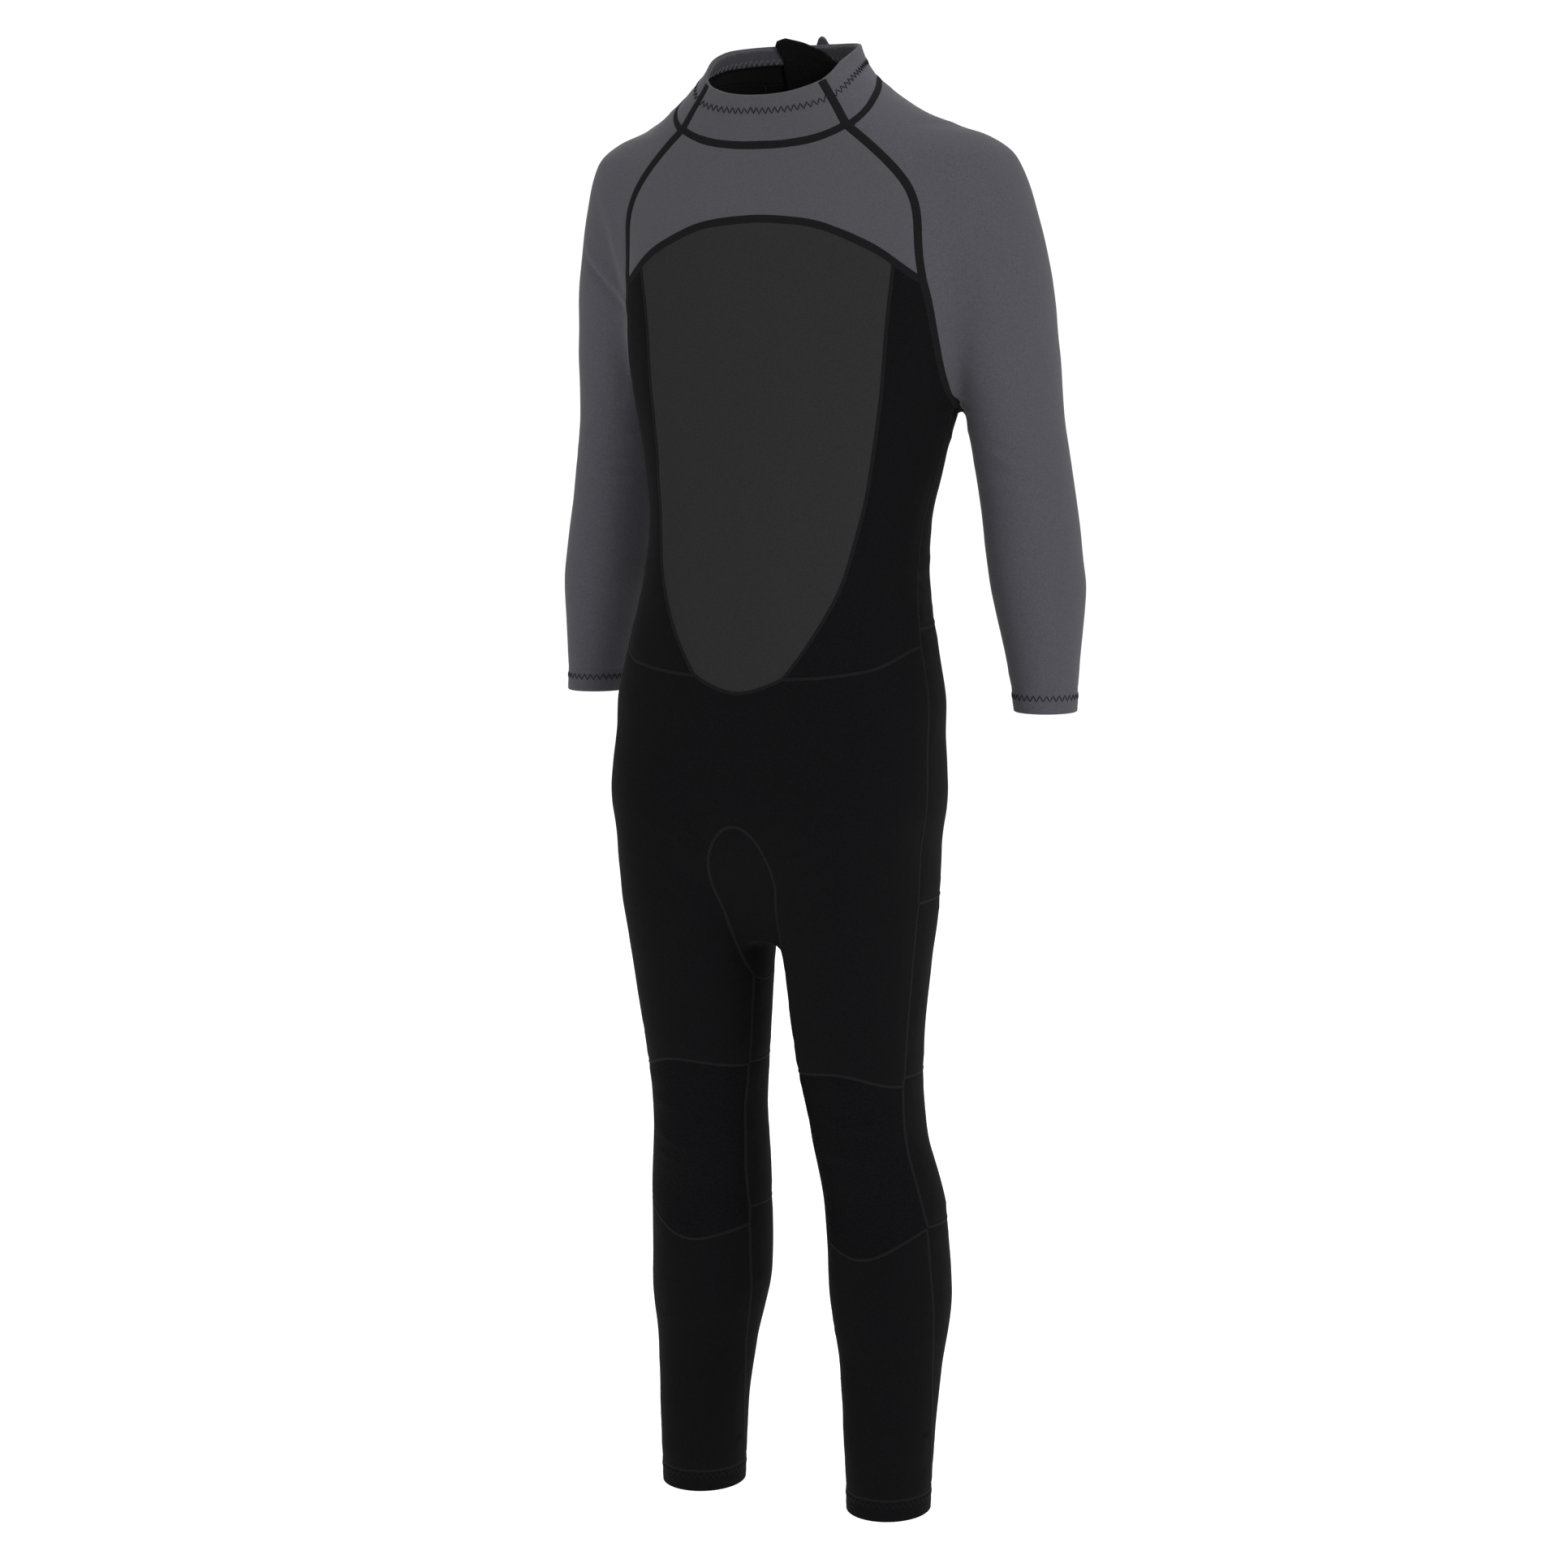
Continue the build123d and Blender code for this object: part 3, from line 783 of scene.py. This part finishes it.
def cells(name, low, high, scale, rough, strength, distance, start=0.0, end=0.5, shine=0.08):
    """A face of small cells, such as an abrasion print or a mesh."""
    material, tree, shader = new_material(name, high, rough, 0.0, shine)
    found = tree.nodes.new("ShaderNodeTexVoronoi")
    found.inputs["Scale"].default_value = scale
    tree.links.new(place(tree), found.inputs["Vector"])
    value = found.outputs["Distance"]
    tree.links.new(colours_from(tree, value, low, high, start, end), shader.inputs["Base Color"])
    tree.links.new(bump_from(tree, value, strength, distance), shader.inputs["Normal"])
    return material


def plain(name, colour, rough, metallic=0.0, specular=0.4):
    material, _, shader = new_material(name, colour, rough)
    shader.inputs["Metallic"].default_value = metallic
    shader.inputs["Specular IOR Level"].default_value = specular
    return material


GREY = jersey("grey_jersey", (0.046, 0.045, 0.053), (0.076, 0.074, 0.087), 0.9, 0.08, fine=1500.0)
YOKE = jersey("grey_fine_jersey", (0.046, 0.045, 0.052), (0.070, 0.069, 0.079), 0.9, 0.10, fine=1900.0)
CHARCOAL = cells("charcoal_mesh", (0.0125, 0.0125, 0.0128), (0.0200, 0.0200, 0.0206),
                 700.0, 0.85, 0.4, 0.0003)
BLACK = jersey("black_jersey", (0.0022, 0.0022, 0.0025), (0.0056, 0.0056, 0.0064), 0.88, 0.01, shine=0.04)
KNEE = cells("knee_abrasion", (0.0016, 0.0016, 0.0018), (0.0040, 0.0040, 0.0046),
             420.0, 0.8, 0.8, 0.0006, shine=0.03)
LINING = jersey("lining", (0.0020, 0.0020, 0.0024), (0.0050, 0.0050, 0.0056), 0.95, 0.05, fine=700.0)
FLAP = jersey("flap_lining", (0.0015, 0.0015, 0.0018), (0.0048, 0.0048, 0.0054),
              0.95, 0.08, fine=500.0, strength=0.6)
FOAM = plain("cut_neoprene", (0.008, 0.008, 0.009), 0.9, specular=0.1)
SEAM = jersey("flatlock_thread", (0.0038, 0.0039, 0.0043), (0.0092, 0.0094, 0.0102),
              0.8, 0.02, fine=2200.0, shine=0.05)
SEAM_DARK = jersey("dark_thread", (0.0034, 0.0034, 0.0038), (0.0086, 0.0086, 0.0094),
                   0.8, 0.01, fine=2200.0, shine=0.08)
THREAD = plain("zigzag_thread", (0.005, 0.005, 0.006), 0.6, specular=0.1)
THREAD_LIGHT = plain("grey_thread", (0.11, 0.11, 0.12), 0.5, specular=0.2)
TAPE = cells("zip_tape_weave", (0.0030, 0.0030, 0.0034), (0.0100, 0.0100, 0.0108), 1500.0, 0.7, 0.5, 0.0003)
COIL = plain("zip_coil_nylon", (0.012, 0.012, 0.013), 0.35, specular=0.5)
METAL = plain("painted_metal", (0.020, 0.020, 0.022), 0.32, metallic=0.85, specular=0.5)
STEEL = plain("pin_steel", (0.35, 0.35, 0.36), 0.28, metallic=1.0, specular=0.5)
PLASTIC = plain("puller_rubber", (0.012, 0.012, 0.013), 0.45, specular=0.45)
HOOK = cells("hook_face", (0.0030, 0.0030, 0.0034), (0.0120, 0.0120, 0.0130), 900.0, 0.6, 1.0, 0.0008)
LOOP = jersey("loop_face", (0.0020, 0.0020, 0.0022), (0.0090, 0.0090, 0.0096),
              0.95, 0.2, fine=900.0, strength=0.9)


# ---------------------------------------------------------------- the skin and its panels
skin = Skin(*base_skin())
trim_openings(skin)
panels = cut_panels(skin)
edges, owners = shared_edges(skin)
sewn = ~np.any(owners == "gone", axis=1)


def distance_to(points, chosen, limit):
    """How far each point is from the chosen ones, in mm, up to a limit."""
    tree = KDTree(len(chosen))
    for i, p in enumerate(chosen):
        tree.insert(p, i)
    tree.balance()
    found = np.full(len(points), limit)
    for i, p in enumerate(points):
        found[i] = min(limit, tree.find(p)[2])
    return found


def neighbour_table(pairs):
    """For points on exactly two of these edges: the point and its two neighbours."""
    return np.array([(v, *n) for v, n in neighbours(pairs).items() if len(n) == 2])


def smooth_seams(rounds=45):
    """Takes the corners out of the seam lines, and lets the faces near them follow."""
    fixed = set(np.unique(edges[~sewn]).tolist())
    line = neighbour_table(edges[sewn])
    line = line[[v not in fixed for v in line[:, 0].tolist()]]
    on_line = np.zeros(len(skin.points), bool)
    on_line[np.unique(edges)] = True
    near_line = distance_to(skin.points, skin.points[np.unique(edges[sewn])], 20.0) < 14
    free = near_line & ~on_line
    all_edges = three_edges(skin.faces)
    all_edges = np.unique(np.sort(all_edges[near_line[all_edges].all(1)], 1), axis=0)
    count = np.zeros(len(skin.points))
    for a in all_edges.T:
        np.add.at(count, a, 1)
    p = skin.points
    for _ in range(rounds):
        p[line[:, 0]] = 0.5 * p[line[:, 0]] + 0.25 * (p[line[:, 1]] + p[line[:, 2]])
        total = np.zeros_like(p)
        for a, b in (all_edges.T, all_edges.T[::-1]):
            np.add.at(total, a, p[b])
        p[free] = 0.5 * p[free] + 0.5 * total[free] / count[free][:, None]
    moved = on_line | free
    p[moved] = on_skin(p[moved], 2)


def shape_skin():
    """Moves the skin to its worn shape: folds, seams pressed in, crisp hems."""
    plain_normals = skin.normals()
    to_seam = distance_to(skin.points, skin.points[np.unique(edges[sewn])], 20.0)
    to_hem = distance_to(skin.points, skin.points[np.unique(edges[~sewn])], 40.0)
    calm = np.clip(to_hem / 30, 0, 1)
    off = folds(skin.points) * calm
    off -= 0.45 * np.exp(-(to_seam / 5.5) ** 2)
    off += 0.45 * np.exp(-((to_seam - 11) / 5) ** 2)
    off -= 2.2 * window(skin.points, (-6, -62, 1418), (9, 60, 42))
    skin.points = skin.points + plain_normals * off[:, None]


smooth_seams()
shape_skin()
normals = skin.normals()
hem_points = np.zeros(len(skin.points), bool)
hem_points[np.unique(edges[~sewn])] = True
# The zip's slot is a cut edge, not a rounded hem.
hem_points &= ~((np.abs(skin.points[:, 0]) < 25) & (skin.points[:, 1] > 60) & (skin.points[:, 2] < 1415))

# Each kind of panel: its face and its material slot; any other kind is black.
LOOKS = {"collar_front": (YOKE, "neoprene_grey"), "collar_side": (GREY, "neoprene_grey"),
         "chest_yoke": (YOKE, "neoprene_grey"), "chest_panel": (CHARCOAL, "neoprene_charcoal"),
         "sleeve": (GREY, "neoprene_grey"), "knee_panel": (KNEE, "knee_abrasion"),
         "wrist_cuff": (GREY, "neoprene_grey")}
ELBOW_BEND = (1104.0, 1000.0)              # where the sleeve's elbow starts and ends, mm above the hems
KNEE_BEND = (462.0, 303.0)


def bend(obj, bend_heights, side, root, lower):
    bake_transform(obj)


for name, nodes in panels.items():
    kind = name.rsplit("_", 1)[0] if name.endswith(("_left", "_right")) else name
    side = -1 if name.endswith("_right") else 1
    word = "right" if side < 0 else "left"
    face, slot = LOOKS.get(kind, (BLACK, "neoprene_black"))
    piece = panel_mesh(skin, normals, name, [face, LINING, FOAM], hem_points)
    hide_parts(*nodes)
    if kind == "sleeve":
        bend(piece, ELBOW_BEND, side, "suit", f"lower_arm_{word}")
    elif kind in ("knee_panel", "knee_back"):
        bend(piece, KNEE_BEND, side, "suit", f"lower_leg_{word}")
    elif kind in ("shin", "calf", "ankle_cuff"):
        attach(piece, f"lower_leg_{word}")
    elif kind == "wrist_cuff":
        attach(piece, f"lower_arm_{word}")
    else:
        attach(piece, "suit")


# ---------------------------------------------------------------- seams and stitching
RAGLAN = [("collar_front", "collar_side"), ("chest_yoke", "collar_side"), ("chest_yoke", "sleeve"),
          ("side_panel", "sleeve"), ("back_panel", "sleeve")]
COLLAR = [("chest_yoke", "collar_front"), ("collar_side", "sleeve")]
ARCH = [("chest_panel", "chest_yoke"), ("chest_yoke", "side_panel")]
TONGUE_EDGE = [("chest_panel", "side_panel"), ("chest_panel", "lower_front")]
DARK = [("lower_front", "side_panel"), ("seat", "side_panel"), ("back_panel", "seat"),
        ("back_panel", "side_panel"), ("lower_front", "seat"), ("crotch_gusset", "lower_front"),
        ("crotch_gusset", "seat"), ("crotch_gusset", "thigh_back"), ("seat_left", "seat_right"),
        ("back_panel", "collar_side"), ("back_panel_left", "back_panel_right"),
        ("collar_side_left", "collar_side_right")]
LEG_SEAMS = [("lower_front", "thigh_back"), ("seat", "thigh_back"), ("knee_back", "thigh_back"),
             ("knee_back", "knee_panel"), ("knee_panel", "lower_front"), ("knee_back", "lower_front"),
             ("knee_panel", "shin"), ("calf", "knee_back"), ("calf", "knee_panel"), ("calf", "shin"),
             ("ankle_cuff", "calf"), ("ankle_cuff", "shin")]


def strip(name, lines, material, width, height, relief, lift=-0.1):
    points, faces = ribbon(lines, width, height, relief, lift)
    return make_object(name, points, faces, [material])


def side_of(line):
    return 1 if line[0][:, 0].mean() > 0 else -1


def level_line(panel, height, step=1.2):
    """The lines on a panel's own faces where this function of the points crosses 0."""
    faces = skin.faces[skin.panel == panel]
    level = height(skin.points)
    ends, ways = {}, {}
    for face in faces.tolist():
        cross = []
        for a, b in ((0, 1), (1, 2), (2, 0)):
            u, v = sorted((face[a], face[b]))
            if (level[u] > 0) != (level[v] > 0):
                cross.append((u, v))
        if len(cross) == 2:
            for u, v in cross:
                share = level[u] / (level[u] - level[v])
                ends[u, v] = (skin.points[u] * (1 - share) + skin.points[v] * share,
                              normals[u] * (1 - share) + normals[v] * share)
            ways.setdefault(cross[0], []).append(cross[1])
            ways.setdefault(cross[1], []).append(cross[0])
    keys = {key: i for i, key in enumerate(ends)}
    spots = np.array([ends[key][0] for key in keys])
    ups = np.array([ends[key][1] for key in keys])
    found = np.array([(keys[a], keys[b]) for a in ways for b in ways[a] if keys[a] < keys[b]])
    return [even_line(spots[line], ups[line], step, 3) for line in chains(found)]


def rim_height(points):
    return collar_height(points) - points[:, 2]


for name, pairs, lift in (("flatlock_raglan", RAGLAN, 0.12), ("flatlock_collar", COLLAR, -0.1),
                          ("flatlock_arch", ARCH, -0.1)):
    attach(strip(name, lines_between(pairs, 0.6), SEAM, 8.2, 0.75, 0.2, lift), "suit")
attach(strip("flatlock_tongue", lines_between(TONGUE_EDGE, 0.8), SEAM, 3.6, 0.7, 0.12), "suit")
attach(strip("flatlock_black", lines_between(DARK, 0.8), SEAM_DARK, 3.4, 0.75, 0.14), "suit")
leg_lines = lines_between(LEG_SEAMS, 0.8)
for word, side in SIDES:
    lines = [line for line in leg_lines if side_of(line) == side]
    piece = strip(f"flatlock_leg_{word}", lines, SEAM_DARK, 3.4, 0.75, 0.14)
    bend(piece, KNEE_BEND, side, "suit", f"lower_leg_{word}")


WRIST_STITCH, ANKLE_STITCH = 836, 17  # heights of the hems' stitching, mm
COLLAR_STITCH = 15                    # how far below the rim, mm


def stitched(name, lines, material, body, swing=2.9, pitch=6.4, radius=0.5):
    points, faces = threads(lines, swing, pitch, radius)
    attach(make_object(name, points, faces, [material]), body)


for word, side in SIDES:
    wrist = level_line(f"wrist_cuff_{word}", lambda p: p[:, 2] - WRIST_STITCH)
    stitched(f"wrist_stitch_{word}", wrist, THREAD, f"lower_arm_{word}")
    ankle = level_line(f"ankle_cuff_{word}", lambda p: p[:, 2] - ANKLE_STITCH)
    stitched(f"ankle_stitch_{word}", ankle, THREAD, f"lower_leg_{word}")
    collar = level_line(f"collar_side_{word}", lambda p: rim_height(p) - COLLAR_STITCH)
    stitched(f"collar_stitch_{word}", collar, THREAD, "suit")
collar = level_line("collar_front", lambda p: rim_height(p) - COLLAR_STITCH)
stitched("collar_stitch_front", collar, THREAD, "suit")


# ---------------------------------------------------------------- neck and zip
def back_depth(x, z):
    """How far back the plain torso's skin is, at this distance from the centre line and height."""
    mid, half, _, back, power = smooth_rows(TORSO, z)
    share = np.clip(1 - np.abs(x / half) ** power, 0, 1)
    return mid + back * share ** (1 / power)


def layer(name, left, right, low, top, inset, thick, materials,
          step=2.0, lean=0.0, ripple=0.0, sewn_at=None):
    """A thin piece lying on the torso's back: its edges run from low to top, and it is closed.
    left and right give the edges at each height, and top the height at each share across.
    Past sewn_at it is pressed down onto what it is sewn to."""
    columns = max(6, int((right[0][1] - left[0][1]) / step))
    rows = max(4, int((max(h for _, h in top) - low) / step))
    u = np.linspace(0, 1, columns + 1)[None]
    v = np.linspace(0, 1, rows + 1)[:, None]
    z = low + (np.interp(u, *np.array(top, float).T) - low) * v
    first = np.interp(z, *np.array(left, float).T)
    last = np.interp(z, *np.array(right, float).T)
    x = first + (last - first) * u
    rough = noise_at(np.stack([x, z * 0, z], -1).reshape(-1, 3), 9, 31).reshape(z.shape) * ripple
    z = z + rough * v ** 12 * 0.6
    y = back_depth(x.ravel(), z.ravel()).reshape(x.shape) - inset
    y -= lean * np.clip((z - 1440) / 40, 0, 1.2) ** 2 + rough * v ** 3
    if sewn_at is not None:
        press = np.clip((x - sewn_at + 6) / 10, 0, 1)
        y -= 1.3 * press * press * (3 - 2 * press)
    outer = np.stack([x, y, z], -1)
    edge = np.zeros(x.shape, bool)
    edge[0], edge[-1], edge[:, 0], edge[:, -1] = True, True, True, True
    up = np.cross(np.gradient(outer, axis=0), np.gradient(outer, axis=1))
    up /= np.linalg.norm(up, axis=2)[..., None]
    up *= np.sign(up[..., 1:2])
    n = x.size
    shrink = np.where(edge, 0.25, 0.0)[..., None] * thick
    sheets = outer - up * shrink, outer - up * (thick - shrink)
    points = np.concatenate([sheet.reshape(-1, 3) for sheet in sheets])
    index = np.arange(n).reshape(x.shape)
    quads = np.stack([index[:-1, :-1], index[:-1, 1:], index[1:, 1:], index[1:, :-1]], -1).reshape(-1, 4)
    ring = np.concatenate([index[0], index[1:, -1], index[-1, -2::-1], index[-2:0:-1, 0]])
    following = np.roll(ring, -1)
    sides = np.stack([following, ring, ring + n, following + n], 1)
    faces = quads[:, ::-1].tolist() + (quads + n).tolist() + sides[:, ::-1].tolist()
    slots = [0] * len(quads) + [1] * len(quads) + [0] * len(sides)
    return make_object(name, points, faces, materials, slots)


def part(piece, body, slot, *nodes):
    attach(piece, body)
    if nodes:
        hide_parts(*nodes)
    return piece


def straight(low, high, x):
    return [(low, x), (high, x)]


FLAP_TOP = [(0, 1470), (0.06, 1474.5), (0.17, 1477.5), (0.30, 1475.5), (0.46, 1471.5), (0.66, 1465),
            (0.88, 1451), (1, 1437)]
part(layer("zip_flap.face", [(950, -40), (1430, -40), (1458, -35), (1476, -41)], straight(950, 1480, 29),
           956, FLAP_TOP, WALL + 2.7, 1.9, [FLAP, FLAP], lean=5.0, ripple=0.9),
     "suit", "flap_lining", "zip_flap")
TAB_TOP = [(0, 1467), (0.05, 1470), (0.45, 1470), (0.475, 1473.5), (0.50, 1478), (0.53, 1480),
           (0.565, 1479.5), (0.59, 1477), (0.61, 1473), (0.64, 1470), (1, 1470)]
TAB_END, TAB_SEWN = 45.0, 34.0        # how far the tab reaches, and where it starts to be sewn down
tab = layer("neck_tab.face", [(1438, -48), (1443, -52), (1466, -52), (1471, -48)],
            straight(1438, 1480, TAB_END), 1438, TAB_TOP, -3.5, 2.4, [GREY, GREY],
            step=1.2, ripple=0.3, sewn_at=TAB_SEWN)
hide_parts("neck_tab")
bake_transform(tab)


def tab_stitches():
    """Two rows of zigzag that hold the tab's sewn end."""
    lines = []
    for x in (TAB_END - 3.5, TAB_END - 8):
        z = np.linspace(1441, 1467, 40)
        across = np.full_like(z, x)
        spots = np.stack([across, back_depth(across, z) + 2.25, z], 1)
        ups = skin_slope(spots)
        lines.append(even_line(spots, ups, 0.6, 0))
    return lines


stitched("tab_stitch", tab_stitches(), THREAD, "suit", swing=1.3, pitch=2.4, radius=0.26)
part(layer("tab_hook", straight(1440, 1470, -50), straight(1440, 1470, -9), 1441, [(0, 1467), (1, 1467)],
           -1.1, 0.25, [HOOK, HOOK], step=1.5), "tab", "hook_tab")
part(layer("tab_pad.face", straight(1440, 1468, -50), straight(1440, 1468, -8), 1441, [(0, 1468), (1, 1468)],
           -0.8, 0.75, [LOOP, LOOP], step=1.5), "suit", "loop_pad", "tab_pad")
part(layer("zip_patch.face", [(938, -17), (943, -21), (962, -21)], [(938, 17), (943, 21), (962, 21)],
           938, [(0, 962), (1, 962)], -1.25, 1.2, [BLACK, LINING], step=1.2),
     "suit", "neoprene_black", "zip_patch")


def neck_band(depth=16.0):
    """The folded band inside the top of the collar."""
    copy = Skin(skin.points.copy(), skin.faces.copy())
    copy.panel = skin.panel.copy()
    collar = np.char.startswith(copy.panel, "collar")
    copy.cut(collar, depth - rim_height(copy.points), "band")
    up = np.zeros_like(copy.points)
    up[:len(normals)] = normals
    up[len(normals):] = copy.normals()[len(normals):]
    top = np.zeros(len(copy.points), bool)
    piece = panel_mesh(copy, up, "band", [GREY, GREY, GREY], top, thick=1.4, lift=-WALL - 0.05)
    piece.name = "neck_binding.face"
    return piece


part(neck_band(), "suit", "neoprene_grey", "neck_binding")
for panel_name in ("collar_front", "collar_side_left", "collar_side_right"):
    lines = [(p - n * (WALL + 1.5), -n, -out, at, closed) for p, n, out, at, closed
             in level_line(panel_name, lambda p: rim_height(p) - 13)]
    stitched(f"binding_stitch_{panel_name[7:]}", lines, THREAD_LIGHT, "suit")


def zip_tape(word, side):
    """The woven tape: a flat strip with fine ribs and a cord at the edge by the coil."""
    low, high = suit_box(f"zip_tape_{word}")
    across = np.linspace(3.3, 15.0, 40)
    ribs = 0.10 * np.cos(2 * math.pi * across / 1.3) + np.where(across < 4.6, 0.25, 0)
    back, front = high[1] + ribs - 0.12, np.full_like(across, low[1])
    levels = np.linspace(low[2], high[2], 60)
    ring = np.concatenate([np.stack([across, back], 1), np.stack([across, front], 1)[::-1]])
    points = np.array([(side * x, y, z) for z in levels for x, y in ring])
    m = len(ring)
    last = len(levels) - 1
    faces = [face for i in range(last) for face in ring_faces(i * m, (i + 1) * m, m)]
    faces += end_faces(0, last * m, m)
    if side > 0:
        faces = [face[::-1] for face in faces]
    return make_object(f"zip_tape_{word}.face", points, faces, [TAPE])


def zip_teeth(word, side, pitch=2.6):
    """One row of the coil: a rounded loop for each tooth, half a pitch apart from the other row."""
    low, high = suit_box(f"zip_coil_{word}")
    middle = (low[1] + high[1]) / 2
    around = np.linspace(0, 2 * math.pi, 10, endpoint=False)
    levels = np.arange(low[2] + 0.8 + (pitch / 2 if side < 0 else 0), high[2] - 0.7, pitch)
    path = [(3.6, 0.0, 0.55), (3.2, 0.9, 0.6), (1.6, 1.15, 0.6), (-0.3, 0.95, 0.62), (-1.0, 0.0, 0.72),
            (-0.3, -0.95, 0.62), (1.6, -1.15, 0.6), (3.2, -0.9, 0.6)]
    points, faces = [], []
    m, n = len(path), len(around)
    for z in levels:
        start = len(points)
        for k, (x, y, radius) in enumerate(path):
            ahead = np.array(path[(k + 1) % m][:2]) - np.array(path[k - 1][:2])
            ahead /= np.linalg.norm(ahead)
            for turn in around:
                out = radius * math.cos(turn)
                points.append((side * (x + ahead[1] * out), middle + y - ahead[0] * out,
                               z + 0.75 * radius * math.sin(turn)))
        for k in range(m):
            a, b = start + k * n, start + (k + 1) % m * n
            faces += [face if side > 0 else face[::-1] for face in ring_faces(a, b, n)]
    return make_object(f"zip_coil_{word}.face", points, faces, [COIL])


for word, side in SIDES:
    part(zip_tape(word, side), "suit", "zip_tape", f"zip_tape_{word}")
    part(zip_teeth(word, side), "suit", "zip_coil", f"zip_coil_{word}")
    lines = level_line(f"back_panel_{word}",
                       lambda p: np.maximum(np.abs(p[:, 0]) - 19.5, 957 - p[:, 2]))
    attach(strip(f"zip_stitch_{word}", lines, SEAM_DARK, 2.6, 0.45, 0.14, -0.05), "suit")

# The zip's hard parts stay the CAD nodes: material and edge radius in mm.
HARD_PARTS = (("zip_slider", METAL, 0.35), ("puller_pin", STEEL, 0.2), ("zip_puller", PLASTIC, 0.4),
              ("zip_stop_top", METAL, 0.3), ("zip_stop_bottom", METAL, 0.3))
for node, material, soft_edge in HARD_PARTS:
    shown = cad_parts[node]
    for i in range(len(shown.material_slots)):
        shown.material_slots[i].link = "OBJECT"
        shown.material_slots[i].material = material
    bevel = shown.modifiers.new("bevel", "BEVEL")
    bevel.width = soft_edge * MM
    bevel.segments = 3
    bevel.limit_method = "ANGLE"
    bevel.angle_limit = math.radians(40)


# ---------------------------------------------------------------- floor and light
def add_floor():
    mesh = bpy.data.meshes.new("floor")
    z = cad_box[0][2]
    mesh.from_pydata([(-30, -30, z), (30, -30, z), (30, 30, z), (-30, 30, z)], [], [(0, 1, 2, 3)])
    white = plain("floor_white", (0.6, 0.6, 0.6), 0.95, specular=0.0)
    shader = white.node_tree.nodes["Principled BSDF"]
    shader.inputs["Emission Color"].default_value = (1, 1, 1, 1)
    shader.inputs["Emission Strength"].default_value = 0.82
    mesh.materials.append(white)
    floor = bpy.data.objects.new("floor", mesh)
    bpy.context.scene.collection.objects.link(floor)


def add_world(light, seen):
    """Even white light, and a white background that is a little brighter where it is seen."""
    world = bpy.data.worlds.new("studio")
    world.use_nodes = True
    tree = world.node_tree
    lit, output = tree.nodes["Background"], tree.nodes["World Output"]
    shown = tree.nodes.new("ShaderNodeBackground")
    path, mix = tree.nodes.new("ShaderNodeLightPath"), tree.nodes.new("ShaderNodeMixShader")
    for node, strength in ((lit, light), (shown, seen)):
        node.inputs["Color"].default_value = (1, 1, 1, 1)
        node.inputs["Strength"].default_value = strength
    tree.links.new(path.outputs["Is Camera Ray"], mix.inputs[0])
    tree.links.new(lit.outputs[0], mix.inputs[1])
    tree.links.new(shown.outputs[0], mix.inputs[2])
    tree.links.new(mix.outputs[0], output.inputs["Surface"])
    bpy.context.scene.world = world
    bpy.context.scene.view_settings.view_transform = "Standard"


add_floor()
add_world(0.44, 1.05)
add_light("key", (3.0, -2.0, 1.7), (1.8, 2.2), 80)
add_light("fill", (-2.4, -2.6, 0.3), (1.6, 2.4), 5)
add_light("top", (0.0, -0.2, 2.0), (2.4, 2.4), 34)
add_light("rim", (-1.6, 3.0, 1.2), (2.0, 2.0), 40)
